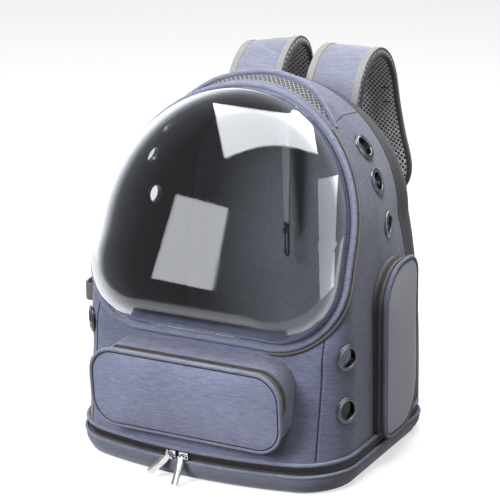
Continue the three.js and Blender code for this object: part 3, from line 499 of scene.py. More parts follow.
class Shader:
    """The nodes of a material or a world, with short ways to add those used here."""

    def __init__(self, owner):
        owner.use_nodes = True
        self.owner = owner
        self.nodes, self.links = owner.node_tree.nodes, owner.node_tree.links
        self.surface = self.nodes.get("Principled BSDF")

    def fill(self, node, inputs):
        """Sets or links a node's inputs, by name or number."""
        for key, value in inputs.items():
            if isinstance(value, bpy.types.NodeSocket):
                self.links.new(value, node.inputs[key])
            else:
                node.inputs[key].default_value = value
        return node

    def add(self, kind, inputs=None):
        return self.fill(self.nodes.new(kind), inputs or {})

    def noise(self, scale, detail=2.0, rough=0.5):
        """Noise over object places. The scale is one number, or one for each axis."""
        coords = self.add("ShaderNodeTexCoord")
        scale = scale if isinstance(scale, tuple) else (scale,) * 3
        mapping = self.add("ShaderNodeMapping", {"Vector": coords.outputs["Object"], "Scale": scale})
        return self.add("ShaderNodeTexNoise", {"Vector": mapping.outputs["Vector"], "Scale": 1.0,
                                               "Detail": detail, "Roughness": rough}).outputs["Fac"]

    def ramp(self, factor, *stops):
        """A colour ramp. Each stop is a place and a colour, or a place and a grey level."""
        node = self.add("ShaderNodeValToRGB", {"Fac": factor})
        stops = [(at, (*(c if isinstance(c, tuple) else (c,) * 3), 1)) for at, c in stops]
        elements = node.color_ramp.elements
        for element, (at, color) in ((elements[0], stops[0]), (elements[1], stops[-1])):
            element.position, element.color = at, color
        for at, color in stops[1:-1]:
            elements.new(at).color = color
        return node.outputs["Color"]

    def mixed(self, a, b, factor, kind="MULTIPLY"):
        node = self.nodes.new("ShaderNodeMix")
        node.data_type, node.blend_type = "RGBA", kind
        return self.fill(node, {0: factor, 6: a, 7: b}).outputs[2]

    def bump(self, height, strength, distance=0.0006):
        node = self.add("ShaderNodeBump", {"Height": height, "Strength": strength, "Distance": distance})
        self.links.new(node.outputs["Normal"], self.surface.inputs["Normal"])


def new_shader(name):
    return Shader(bpy.data.materials.new(name))


def times(color, share):
    return tuple(min(c * share, 1) for c in color)


def woven(name, light, dark):
    """Melange weave: fine horizontal streaks of lighter and darker yarn over slow changes of tone."""
    s = new_shader(name)
    grain = s.noise(1300, 1)
    middle = tuple((a + b) / 2 for a, b in zip(light, dark))
    yarn = s.ramp(s.noise((75, 75, 900), 3, 0.6), (0.3, dark), (0.5, middle), (0.68, light))
    speckle = s.ramp(grain, (0.32, times(dark, 0.75)), (0.66, times(light, 1.175)))
    tone = s.ramp(s.noise(9), (0.3, (0.84, 0.84, 0.86)), (0.7, (1.1, 1.1, 1.08)))
    color = s.mixed(s.mixed(yarn, speckle, 0.4, "MIX"), tone, 0.8)
    s.fill(s.surface, {"Base Color": color, "Roughness": 0.85, "Specular IOR Level": 0.25,
                       "Sheen Weight": 0.25, "Sheen Roughness": 0.5})
    s.bump(grain, 0.35)
    return s.owner


def plain_cloth(name, color, scale=900, strength=0.35, rough=0.9, sheen=0.15):
    s = new_shader(name)
    grain = s.noise(scale, 2, 0.6)
    yarn = s.ramp(grain, (0.3, times(color, 0.72)), (0.7, times(color, 1.25)))
    tone = s.ramp(s.noise(14), (0.3, 0.85), (0.7, 1.08))
    s.fill(s.surface, {"Base Color": s.mixed(yarn, tone, 0.7), "Roughness": rough, "Specular IOR Level": 0.2,
                       "Sheen Weight": sheen})
    s.bump(grain, strength)
    return s.owner


def diamond_mesh(name, thread, hole, pitch, lift=0.6, turn=45.0, spin=None, edges=(0.45, 0.75)):
    """Air mesh: threads crossing at an angle over darker holes. spin turns object places, so that the
    pattern's plane is X and Y; without it the pattern follows the weave places."""
    s = new_shader(name)
    coords = s.add("ShaderNodeTexCoord")
    places = coords.outputs["UV"]
    if spin is not None:
        facing = s.add("ShaderNodeMapping", {"Vector": coords.outputs["Object"],
                                             "Rotation": [math.radians(a) for a in spin]})
        places = facing.outputs["Vector"]
    top = s.nodes.new("ShaderNodeMath")
    top.operation = "MAXIMUM"
    for k, angle in enumerate((turn, -turn)):
        mapping = s.add("ShaderNodeMapping", {"Vector": places, "Rotation": (0, 0, math.radians(angle))})
        wave = s.add("ShaderNodeTexWave", {"Vector": mapping.outputs["Vector"], "Scale": 314 / pitch,
                                           "Distortion": 0.15})
        s.fill(top, {k: wave.outputs["Fac"]})
    color = s.ramp(top.outputs[0], (edges[0], hole), (edges[1], thread))
    s.fill(s.surface, {"Base Color": color, "Roughness": 0.7})
    s.bump(top.outputs[0], lift, 0.001)
    return s.owner


def webbing_cloth(name, color, rib=700):
    s = new_shader(name)
    coords = s.add("ShaderNodeTexCoord")
    ribs = s.add("ShaderNodeTexWave", {"Vector": coords.outputs["Object"], "Scale": rib * 0.314,
                                       "Distortion": 1.0})
    ribs.bands_direction = "DIAGONAL"
    yarn = s.ramp(ribs.outputs["Fac"], (0.2, times(color, 0.7)), (0.8, times(color, 1.25)))
    speckle = s.ramp(s.noise(1200), (0.3, 0.8), (0.7, 1.1))
    s.fill(s.surface, {"Base Color": s.mixed(yarn, speckle, 0.7), "Roughness": 0.75})
    s.bump(ribs.outputs["Fac"], 0.4)
    return s.owner


def metal(name, color, rough):
    s = new_shader(name)
    wear = s.noise(160, 3, 0.6)
    s.fill(s.surface, {"Base Color": s.ramp(wear, (0.3, times(color, 0.8)), (0.7, color)), "Metallic": 1.0,
                       "Roughness": s.ramp(wear, (0.3, rough * 1.5), (0.7, rough))})
    return s.owner


def moulded(name, color, rough=0.4):
    s = new_shader(name)
    grain = s.noise(900)
    tone = s.ramp(grain, (0.3, times(color, 0.8)), (0.7, times(color, 1.2)))
    s.fill(s.surface, {"Base Color": tone, "Roughness": rough})
    s.bump(grain, 0.15, 0.0004)
    return s.owner


def clear_dome(name):
    """Clear plastic with a light smoke tint: see-through face on, glossy, and paler towards its rim."""
    s = new_shader(name)
    s.nodes.remove(s.surface)
    through = s.add("ShaderNodeBsdfTransparent", {"Color": (0.8, 0.815, 0.83, 1)})
    gloss = s.add("ShaderNodeBsdfGlossy", {"Color": (0.95, 0.96, 1.0, 1), "Roughness": 0.03})
    edge = s.add("ShaderNodeLayerWeight", {"Blend": 0.5})
    share = s.ramp(edge.outputs["Facing"], (0.0, 0.03), (0.2, 0.045), (0.3, 0.1), (0.42, 0.22), (0.56, 0.45),
                   (0.68, 0.72), (1.0, 0.98))
    mix = s.add("ShaderNodeMixShader", {0: share, 1: through.outputs[0], 2: gloss.outputs[0]})
    s.fill(s.nodes["Material Output"], {"Surface": mix.outputs[0]})
    return s.owner


FABRIC = woven("blue_melange", (0.145, 0.156, 0.234), (0.057, 0.062, 0.098))
POCKET_FABRIC = woven("pocket_melange", (0.2, 0.213, 0.315), (0.083, 0.09, 0.14))
STRAP_FABRIC = woven("strap_melange", (0.185, 0.195, 0.255), (0.095, 0.1, 0.14))
PIPING = woven("piping_cloth", (0.17, 0.185, 0.255), (0.08, 0.088, 0.125))
TRAY_FABRIC = woven("tray_cloth", (0.135, 0.143, 0.185), (0.062, 0.067, 0.093))
# the rear side's grey cloth, partly painted shade: darker than the cloth's own mid-grey, for the shade on
# that side
GREY_WITH_SHADE = plain_cloth("grey_painted_shade", (0.05, 0.05, 0.059))
LINING = plain_cloth("dark_lining", (0.02, 0.021, 0.024))
BACK_LINING = plain_cloth("back_lining", (0.185, 0.187, 0.21))
SIDE_MESH = plain_cloth("dark_side_lining", (0.012, 0.012, 0.014), 500, 0.05, 0.95, 0.0)
MAT = plain_cloth("floor_mat", (0.09, 0.092, 0.1))
TOP_MESH = diamond_mesh("top_air_mesh", (0.2, 0.2, 0.21), (0.006, 0.006, 0.007), 4.6, 1.0, 35.0, (0, 0, 0),
                        (0.85, 0.97))
STRAP_MESH = diamond_mesh("strap_air_mesh", (0.75, 0.72, 0.74), (0.02, 0.018, 0.022), 4.2, edges=(0.6, 0.86))
POCKET_MESH = diamond_mesh("pocket_mesh", (0.36, 0.36, 0.41), (0.16, 0.163, 0.2), 2.4, 0.3, spin=(0, 90, 0))
BACK_MESH = diamond_mesh("back_air_mesh", (0.085, 0.085, 0.095), (0.02, 0.02, 0.024), 4.2, spin=(90, 0, 0))
BINDING = plain_cloth("pale_binding", (0.21, 0.208, 0.2))
# painted shade: the pale binding darkened, for the edge rolls on the strap's mesh side
SHADED_BINDING = plain_cloth("binding_painted_shade", (0.05, 0.05, 0.058))
# painted shade: a near-black line for the shade in a seam's crease
SEAM_SHADE = plain_cloth("seam_painted_shade", (0.018, 0.019, 0.03))
ZIP_TAPE = webbing_cloth("zip_tape", (0.085, 0.075, 0.078))
ZIP_COIL = webbing_cloth("zip_coil", (0.016, 0.014, 0.016), 1100)
WEBBING = webbing_cloth("grey_webbing", (0.07, 0.075, 0.08))
TETHER = webbing_cloth("tether_webbing", (0.30, 0.325, 0.32))
THREAD = moulded("thread", (0.22, 0.23, 0.30), 0.7)
DARK_THREAD = moulded("dark_thread", (0.03, 0.03, 0.045), 0.7)
CHROME = metal("polished_chrome", (0.72, 0.73, 0.75), 0.12)
RING_METAL = metal("ring_gunmetal", (0.085, 0.087, 0.095), 0.24)
PLASTIC = moulded("black_plastic", (0.014, 0.014, 0.015))
DOME = clear_dome("clear_dome")


def set_materials(obj, *materials):
    obj.data.materials.clear()
    for material in materials:
        obj.data.materials.append(material)


def finish_piece(obj, material, nodes=(), body=BAG, angle=40):
    """Shades a piece, gives it its material if it has none, and ties it to its body."""
    shade(obj, angle)
    if material is not None:
        set_materials(obj, material)
    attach(obj, body)
    if nodes:
        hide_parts(*nodes)


# Camera, from a fit of the bag's outline to the photograph: azimuth, elevation and roll in degrees, focal
# length and shift in the photograph's pixels, distance and aim in metres

CAMERA_TURN = (28.584, 17.713, 0.835)
FOCAL_PIXELS = 1955.66
SHIFT_PIXELS = (-1.30, 17.97)
CAMERA_DISTANCE = 2.2
CAMERA_AIM = (0, 0.013, 0.2)


def place_camera():
    azimuth, elevation, roll = (math.radians(a) for a in CAMERA_TURN)
    data = bpy.data.cameras.new("camera")
    data.sensor_width = 36
    data.lens = FOCAL_PIXELS / PHOTO_SIZE * data.sensor_width
    data.shift_x, data.shift_y = (shift / PHOTO_SIZE for shift in SHIFT_PIXELS)
    data.clip_start, data.clip_end = 0.1, 20
    cam = bpy.data.objects.new("camera", data)
    turn = (Matrix.Rotation(azimuth, 4, "Z") @ Matrix.Rotation(math.pi / 2 - elevation, 4, "X")
            @ Matrix.Rotation(-roll, 4, "Z"))
    cam.matrix_world = Matrix.Translation(CAMERA_AIM) @ turn @ Matrix.Translation((0, 0, CAMERA_DISTANCE))
    bpy.context.scene.collection.objects.link(cam)
    bpy.context.scene.camera = cam


place_camera()


# Window plane and outlines

WINDOW = Plane((0, WINDOW_Y, WINDOW_FOOT), (1, 0, 0), (0, math.sin(LEAN), math.cos(LEAN)))
FLOOR = Plane((0, 0, 0), (1, 0, 0), (0, 1, 0))


def arch_reach(z):
    low, spring, _ = section(front_y(0, z))
    bulge = np.clip((z - BODY_FOOT) / (SPRING - BODY_FOOT), 0, 1) ** 3
    return float(low + (spring - low) * bulge)


def window_outline(edge, step=4.0):
    radius = WINDOW_CORNER - edge
    corner_u = arch_reach(WINDOW_FOOT + WINDOW_CORNER) - edge - radius
    half = [(0.0, edge)]
    for i in range(25):
        a = -math.pi / 2 + math.pi / 2 * i / 24
        half.append((corner_u + radius * math.cos(a), WINDOW_CORNER + radius * math.sin(a)))
    for i in range(61):
        angle = math.pi / 2 * i / 60
        y = 0.0
        for _ in range(9):
            _, spring, top = section(y)
            run = (spring - edge) * math.cos(angle)
            rise = SPRING + (top - edge - SPRING) * math.sin(angle)
            y = float(front_y(0, rise))
        v = (rise - WINDOW_FOOT) / math.cos(LEAN)
        if v > WINDOW_CORNER + 8:
            half.append((float(run), float(v)))
    half[-1] = (0.0, half[-1][1])
    mirrored = [(-u, v) for u, v in half[-2:0:-1]]
    return resampled(np.array(half + mirrored), step)


def arch_height(x, y):
    _, spring, top = section(y)
    share = np.minimum(np.abs(x) / spring, 1)
    return SPRING + (top - SPRING) * np.sqrt(1 - share ** 2)


def vent_front(x):
    return front_y(0, arch_height(x, 0)) + UPPER_EDGE + 3


def vent_rear(x):
    return vent_front(x) + VENT_DEPTH * (1 - (x / VENT_HALF) ** 2)


def vent_outline():
    xs = np.linspace(-VENT_HALF, VENT_HALF, 41)
    front = [(x, float(vent_front(x))) for x in xs]
    rear = [(x, float(vent_rear(x))) for x in xs[-2:0:-1]]
    return np.array(front + rear)


# Vent rings: where each sits on the skin, as in the solids

def ring_seat(node):
    """Centre of a ring and the way that it faces, from its solid's own box and the skin beside it."""
    lo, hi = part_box(node)
    middle = np.array((lo + hi) / 2) * 1000
    along = np.linspace(0.01, 0.49, 97)
    across = np.linspace(0, 2, 81)
    side = 1 if middle[0] > 0 else -1
    field = skin(along[:, None], across[None, :])
    target = middle * (side, 1, 1)
    i, j = np.unravel_index(((field - target) ** 2).sum(-1).argmin(), field.shape[:2])
    i, j = min(max(i, 1), len(along) - 2), min(max(j, 1), len(across) - 2)
    facing = unit(np.cross(field[i + 1, j] - field[i - 1, j], field[i, j + 1] - field[i, j - 1]))
    if facing[0] < 0:
        facing = -facing
    seat = target + facing * ((field[i, j] - target) @ facing)
    return seat * (side, 1, 1), facing * (side, 1, 1)


def turned(name, profile, seat, facing, sides=48):
    """A closed profile of (radius, height) places turned about an axis."""
    helper = (0.0, 0.0, 1.0) if abs(facing[2]) < 0.9 else (1.0, 0.0, 0.0)
    u = unit(np.cross(helper, facing))
    turn = circle(1.0, sides)
    spokes = turn[:, :1] * u + turn[:, 1:] * np.cross(facing, u)
    rings = [seat + r * spokes + h * facing for r, h in profile]
    return grids(name, [(np.stack([*rings, rings[0]]), True)])


def cylinder(radius, low, high, seat, facing):
    return turned("cutter", [(0.0, low), (radius, low), (radius, high), (0.0, high)], seat, facing, 40)


SEATS = {f"vent_ring_{side}_{place}": ring_seat(f"vent_ring_{side}_{place}") for side in ("right", "left")
         for place in ("upper_1", "upper_2", "upper_3", "lower_1", "lower_2")}

RING_PROFILE = [(10.0, 0.4), (10.1, 1.6), (10.6, 2.4), (11.4, 2.7), (12.3, 2.5), (12.9, 1.9), (13.4, 1.7),
                (14.0, 2.0), (14.6, 1.9), (15.1, 1.2), (15.3, 0.3), (14.9, 0.05), (11.4, 0.05), (11.4, -3.5),
                (13.6, -3.6), (14.0, -4.1), (13.4, -4.6), (11.2, -5.2), (10.3, -5.0), (10.0, -4.2)]


def make_rings():
    for node, (seat, facing) in SEATS.items():
        ring = turned(f"{node}_trim", RING_PROFILE, seat, facing)
        finish_piece(ring, RING_METAL, [node], angle=50)


# Shell panels

def outward_faces(obj, outer, inner):
    """Gives an outward face the outer material and an inward one the inner, by the way it faces."""
    set_materials(obj, outer, inner)
    for p in obj.data.polygons:
        c = np.array(p.center) * 1000
        n = np.array(p.normal)
        heart = np.array((c[0] * 0.2, min(max(c[1], -60), 110), min(c[2], SPRING - 60)))
        lower_front = c[2] < WINDOW_FOOT and n[1] < -0.3 and c[1] < -60
        if not lower_front and n @ unit(c - heart) < -0.15:
            p.material_index = 1


def make_shell():
    outer = body_solid("outer", 0)
    inner = body_solid("inner", WALL)
    window = WINDOW.loft("cutter", [(window_outline(WINDOW_RIM), h) for h in (-30, 12)])
    vent = FLOOR.loft("cutter", [(vent_outline(), z) for z in (330, 440)])
    under = block((-FAR, -FAR, -20), (FAR, FAR, BODY_FOOT))
    bores = [cylinder(RING_BORE, -14, 8, seat, facing) for seat, facing in SEATS.values()]
    hollow = cut(copy_of(outer, "hollow"), [inner, window, vent, under, *bores])
    reach, top = CORNER_SEAM - SEAM_HALF, WINDOW_FOOT + 34
    zone = block((-reach, -300, 0), (reach, -40, top))
    reach += 2 * SEAM_HALF
    zone_grown = block((-reach, -300, -5), (reach, -40, top + 2 * SEAM_HALF))
    behind, beyond = (block((-FAR, y - SEAM_HALF, -5), (FAR, FAR, 500)) for y in (REAR_SEAM, PANEL_BACK))
    ahead, before = (block((-FAR, -FAR, -5), (FAR, y + SEAM_HALF, 500)) for y in (REAR_SEAM, PANEL_BACK))
    front = cut(copy_of(hollow, "front_panel_cloth"), [zone], "INTERSECT")
    side = cut(copy_of(hollow, "side_and_top_cloth"), [zone_grown, behind])
    rear = cut(copy_of(hollow, "rear_side_cloth"), [ahead, beyond])
    back = cut(copy_of(outer, "padded_back"), [before, under])
    drop(outer, inner, hollow, window, vent, under, *bores, zone, zone_grown, behind, ahead, beyond, before)
    outward_faces(front, FABRIC, LINING)
    outward_faces(side, FABRIC, SIDE_MESH)
    # the rear side gets the grey with painted shade
    outward_faces(rear, GREY_WITH_SHADE, SIDE_MESH)
    set_materials(back, BACK_MESH, BACK_LINING)
    for p in back.data.polygons:
        if p.normal.y < -0.5:
            p.material_index = 1
    finish_piece(front, None, ["front_panel"])
    finish_piece(side, None, ["side_and_top_panel"])
    finish_piece(rear, None, ["rear_side_panel"])
    finish_piece(back, None, ["back_panel"])


def sewn_row(name, path, ups, *sizes):
    finish_piece(stitches(name, path, ups, *sizes), THREAD, angle=80)


def seam(name, tree, starts, aims, offset):
    """A sewn seam: a thin dark line, painted shade of the seam's crease, where rays from starts along aims
    meet the shell, and a stitch row a little beside it."""
    path, ups = [], []
    for start, aim in zip(starts / 1000, aims):
        hit, facing, _, _ = tree.ray_cast(Vector(start), Vector(aim).normalized())
        if hit is not None:
            path.append(np.array(hit) * 1000)
            ups.append(np.array(facing if facing.dot(Vector(aim)) < 0 else -facing))
    path = np.array(path)
    up, side = frames_along(path, np.array(ups))
    finish_piece(tube(f"{name}_groove", path, 0.55, up, False, 8), SEAM_SHADE)
    sewn_row(f"{name}_thread", path + side * offset, up, 2.6, 1.5, 0.75, 0.35, 0.1)


def make_seams():
    shell = joined("seam_ground", [copy_of(bpy.data.objects[n], "ground") for n in
                                   ("front_panel_cloth", "side_and_top_cloth", "rear_side_cloth")])
    bpy.context.view_layer.update()
    tree = BVHTree.FromObject(shell, bpy.context.evaluated_depsgraph_get())
    beside = 2 * SEAM_HALF
    heart = 200.0
    low = np.linspace(38, 190, 30)
    turn = np.linspace(0.12, math.pi - 0.12, 90)
    right = np.c_[np.full(30, FAR), np.full(30, REAR_SEAM - beside), low]
    around = np.c_[FAR * np.cos(turn), np.full(90, REAR_SEAM - beside), heart + FAR * np.sin(turn)]
    starts = np.vstack([right, around, right[::-1] * (-1, 1, 1)])
    centre = np.c_[np.zeros(150), starts[:, 1], np.minimum(starts[:, 2], heart)]
    seam("rear_seam", tree, starts, centre - starts, -2.6)
    for name, side in (("right", 1), ("left", -1)):
        heights = np.linspace(38, 168, 28)
        starts = np.c_[np.full(28, side * (CORNER_SEAM + beside)), np.full(28, -FAR), heights]
        seam(f"front_seam_{name}", tree, starts, np.tile((0, 1.0, 0), (28, 1)), side * 2.4)
        patch = skin(np.full(20, 0.358), np.linspace(0.16, 0.9, 20)) * (side, 1, 1)
        away = np.array((side * 40.0, 0, 60.0))
        seam(f"top_patch_{name}", tree, patch + away, np.tile(-away, (20, 1)), side * 2.2)
    drop(shell)


DOME_CENTRE = np.array((0, 132.0))
DOME_EASE = 1.45


def make_window():
    """The dome and its flange, with rows that lie closer at its foot and its middle, and the rolled edge."""
    edge = window_outline(WINDOW_EDGE, 3.0)
    outer = inset(edge, 3)
    inner = inset(outer, 2)
    t = np.linspace(0, 1, 48)
    angles = math.pi / 2 * t ** DOME_EASE / (t ** DOME_EASE + (1 - t) ** DOME_EASE)

    def dome(outline, rise, first):
        rows = []
        for a in angles:
            share = max(math.cos(a), 0) ** (2 / BUBBLE_ROUND)
            height = first + rise * math.sin(a) ** (2 / BUBBLE_ROUND)
            rows.append(WINDOW.at(scaled(outline, share, DOME_CENTRE), height))
        return np.stack(rows)

    low, high = 0.3, 0.3 + PLASTIC_WALL
    outside = dome(outer, BUBBLE_RISE - 0.5, high)
    inside = dome(inner, BUBBLE_RISE - 0.5 - PLASTIC_WALL, low)
    rim = np.stack([inside[0], WINDOW.at(edge, low), WINDOW.at(edge, high), outside[0]])
    bubble = grids("window_dome", [(outside, True), (inside, True), (rim, True)])
    finish_piece(bubble, DOME, ["window_bubble"], angle=60)

    path = WINDOW.at(window_outline(WINDOW_EDGE - ROLL_OUTSIDE, 2.5), 3.0)
    rope = tube("window_roll", path, ROLL_RADIUS, WINDOW.normal, True)
    finish_piece(rope, PIPING, ["window_piping"])
    flange = WINDOW.at(window_outline(WINDOW_EDGE + 0.9, 2.5), 2.0)
    tape = sweep("window_roll_tape", flange, WINDOW.normal, band_profile(3.2, 0.9, 0.4), True)
    finish_piece(tape, PIPING)
    sewn_row("window_thread", looped(flange), WINDOW.normal, 2.6, 1.6, 0.75, 0.35, 0.45)


def make_window_zip():
    """The dark line outside the roll: it shows from the window's right foot up to its crown."""
    outline = window_outline(WINDOW_EDGE - ROLL_OUTSIDE - 4.8, 2.5)
    sideways = smooth(outline[:, 1], 0, 60)
    moved = outline - np.stack([sideways * 0.9, 0 * sideways], 1)
    path = WINDOW.at(moved, 2.0 - 2.9 * sideways)
    shown = path[(path[:, 0] > 78) & (path[:, 2] < 372)]
    coil = tube("window_zip_line", shown, 1.75, WINDOW.normal)
    finish_piece(coil, ZIP_TAPE, ["window_zipper"])


def make_vent():
    """The mesh panel between the window and the top roll, and the roll, thinner towards its ends."""
    xs = np.linspace(-VENT_HALF + 1, VENT_HALF - 1, 70)
    shares = np.linspace(0, 1, 14)
    front, rear = vent_front(xs), vent_rear(xs)
    y = front[None] + (rear - front)[None] * shares[:, None]
    x = np.broadcast_to(xs, y.shape)
    z = arch_height(x, y) - 0.9
    top = np.stack([x, y, z], -1)
    low = top - (0, 0, 1.2)
    rim = np.stack([np.concatenate([g[0], g[1:, -1], g[-1, -2::-1], g[-2:0:-1, 0]]) for g in (top, low)])
    mesh = grids("top_air_mesh_panel", [(top, False), (low, False), (rim, True)])
    finish_piece(mesh, TOP_MESH, ["top_vent_mesh"])

    xs = np.linspace(-VENT_HALF - 2, VENT_HALF + 2, 80)
    girth = 3.4 * (0.3 + 0.7 * np.sin(math.pi * np.clip(np.linspace(0, 1, 80), 0.03, 0.97)) ** 0.6)
    y = vent_rear(xs) + 4.6
    out = np.arcsin(np.clip(xs / 200, -1, 1))
    path = np.stack([xs + girth * 0.75 * np.sin(out), y, arch_height(xs, y) + girth * 0.75 * np.cos(out)], 1)
    roll = sweep("top_roll", path, (0.0, 1.0, 0.0), [circle(1, 14) * g for g in girth])
    finish_piece(roll, PIPING, ["top_vent_piping"])


# Base

def base_outline(distance):
    w, r = BASE_WIDTH / 2 - distance, BASE_CORNER - distance
    rear, rear_r = BASE_DEPTH / 2 - distance, BASE_REAR_CORNER - distance

    def front(x):
        return -BASE_DEPTH / 2 + distance + FRONT_BOW * (2 * x / BASE_WIDTH) ** 2

    half = [((w - r) * t, front((w - r) * t)) for t in np.linspace(0, 1, 24)]
    for turn in np.linspace(math.pi / 2, 0, 14)[1:]:
        x = w - r * (1 - math.cos(turn))
        half.append((x, front(x) + r * (1 - math.sin(turn))))
    for turn in np.linspace(0, math.pi / 2, 14):
        half.append((w - rear_r * (1 - math.cos(turn)), rear - rear_r * (1 - math.sin(turn))))
    return resampled(np.array(half + [(-x, y) for x, y in half[:0:-1]]), 1.0)


def ring_at(d, z, count=300):
    """The base's outline at a height, a distance inside its widest."""
    o = base_outline(d)
    pick = np.linspace(0, len(o), count, endpoint=False).astype(int)
    return np.c_[o[pick], np.full(count, z)]


def make_base():
    # The tray's section: distance inside its widest, and height, from its foot round to its inner floor
    shell = [(16, 0.0), (11, 1.4), (7.2, 4.0), (3.2, 8.0), (0.9, 12.5), (0.2, 16.0), (0.0, 19.0), (0.5, 21.0),
             (1.6, 22.0), (8.4, 22.0), (8.5, 20.0), (3.4, 19.0), (3.8, 13.0), (13.0, 5.0)]
    rings = [ring_at(d, h) for d, h in shell]
    caps = [fan(ring, (1.0, 0.6, 0.3, 0.0)) for ring in (rings[0], rings[-1])]
    tray = grids("base_tray_cloth", [(np.stack(rings), True), *caps])
    finish_piece(tray, TRAY_FABRIC, ["base_tray"])

    face = ring_at(6.0, BASE_ZIP_HEIGHT)
    outward = ring_at(4.0, BASE_ZIP_HEIGHT) - face
    zip_band("base_zip", face, outward, 11.0, True, nodes=["base_zipper"], coil=1.3)
    for name, d, z, r in (("base_upper_roll", 3.4, 34.6, 2.1), ("base_lower_roll", 0.9, 21.8, 1.9),
                          ("base_foot_roll", 8.4, 3.2, 1.6)):
        finish_piece(tube(name, ring_at(d, z), r, (0, 0, 1), True, 10), PIPING)


def make_mat():
    o = ring_at(11, 0.0, 200)[:, :2]
    levels = [(0.0, 6.0), (0.97, 6.0), (0.985, 7.5), (0.985, 11.0), (0.97, 12.5), (0.6, 13.2), (0.3, 13.2),
              (0.0, 13.2)]
    mat = grids("cabin_mat", [(np.stack([FLOOR.at(scaled(o, s, o.mean(0)), z) for s, z in levels]), True)])
    finish_piece(mat, MAT)


# Pockets

def puckered(obj, amount, size, seed):
    """Slow unevenness of stuffed cloth, moved along the normals."""
    obj.data.update()
    for v in obj.data.vertices:
        f = noise.noise(Vector(v.co) * (1000 / size) + Vector((seed, 0, 0)))
        v.co += v.normal * (f * amount / 1000)
    obj.data.update()


def make_pocket(name, seat, full, crown, depth, face_material, zip_zone):
    """A pocket on a seat plane: crowned face, gusset, rolled edge, stitched seam, and a zipper along the part
    of its outline that zip_zone keeps."""
    full = resampled(full, 3.0)
    centre = (full.max(0) + full.min(0)) / 2
    wall = inset(full, 4.7)

    def crowned(share, foot):
        return seat.at(scaled(wall, share, centre), foot + crown * (1 - share ** 2.6) ** 0.8)

    rings = [crowned(share, -2.0) for share in (0.0, 0.4, 0.8, 0.97, 1.0)]
    rings += [crowned(share, 0.2) for share in np.linspace(1.0, 0.0, 18)]
    face = grids(f"{name}_front", [(np.stack(rings), True)])
    puckered(face, 0.8, 55, 3.0)
    finish_piece(face, face_material, [f"{name}_face"])

    box_out = seat.loft("pocket", [(wall, -depth), (wall, -2.4)])
    box_in = seat.loft("pocket", [(inset(wall, 2), -depth - 1), (inset(wall, 2), 1)])
    body = body_solid("outer", -0.3)
    walls = cut(box_out, [box_in, body])
    walls.name = f"{name}_gusset"
    finish_piece(walls, FABRIC, [f"{name}_wall"])
    roll = tube(f"{name}_roll", seat.at(inset(full, 2.3), -1.0), 2.25, seat.normal, True, 12)
    finish_piece(roll, PIPING, [f"{name}_piping"])

    points = seat.at(inset(full, 3.2), -11.7)
    keep = zip_zone(points)
    start = int(np.argmax(keep & ~np.roll(keep, 1)))
    order = np.roll(np.arange(len(points)), -start)
    order = order[keep[order]]
    outward = (seat.at(inset(full, 2.2), -11.7) - points)[order]
    zip_band(f"{name}_zip", points[order], outward, 11.0, clear=[body], nodes=[f"{name}_zipper"])
    # painted shade: a dark line for the crease where the pocket's face meets its gusset
    crease_shade = tube(f"{name}_seam", seat.at(inset(full, 4.75), 0.35), 0.7, seat.normal, True, 8)
    finish_piece(crease_shade, SEAM_SHADE)
    sewn = seat.at(inset(full, 6.4), 0.75)
    sewn_row(f"{name}_thread", looped(sewn), seat.normal, 2.4, 1.5, 0.7, 0.35)
    drop(box_in, body)


FRONT_POCKET = rounded((-119, 0), (119, 94), (32, 32, 32, 32))
SIDE_POCKET = rounded((-13, 30), (73, 229), (46, 24, 50, 18))


def make_pockets():
    front = Plane((0, -141, 49), (1, 0, 0), (0, -6, 94))
    make_pocket("front_pocket", front, FRONT_POCKET, 5.0, 60, POCKET_FABRIC,
                lambda p: (p[:, 0] > -92) & (p[:, 2] > 98))
    side = Plane((178, 0, 0), (0, 1, 0), (0, 0, 1))
    make_pocket("side_pocket", side, SIDE_POCKET, 6.0, 45, POCKET_MESH, lambda p: p[:, 1] < 52)


# Shoulder straps

STRAP_ROUTE = np.array([
    (1.0, 0.56, 0.31), (1.0, 0.615, 0.15), (1.0, 0.71, 0.035), (1.02, 0.825, 0.0), (1.05, 0.925, 0.065),
    (1.09, 0.98, 0.2), (1.16, 1.0, 0.42), (1.3, 1.0, 0.64), (1.48, 0.99, 0.84), (1.56, 0.97, 1.0),
])
STRAP_APEX = 424.0
STRAP_DROP = 166.0
STRAP_INSET = 50.0
STRAP_REACH = 208.0
STRAP_WIDTH = 68.0
STRAP_BANK = {"left": 11.0, "right": 0.0}


def strap_path(side, bank, count=90):
    route = (0, 0, STRAP_APEX) + STRAP_ROUTE * (side * STRAP_INSET, STRAP_REACH, -STRAP_DROP)
    path = curved(route, count)
    ahead = unit(np.gradient(path, axis=0))
    ups = np.cross((1.0, 0.0, 0.0), ahead)
    for i, t in enumerate(np.linspace(0, 1, count)):
        a = -bank * math.sin(math.pi * t)
        k, u = ahead[i], ups[i]
        ups[i] = u * math.cos(a) + np.cross(k, u) * math.sin(a)
    return path, ups


def end_taper(t):
    return math.sqrt(1 - ((t - 0.9) / 0.1) ** 2 * 0.45) if t > 0.9 else 1.0


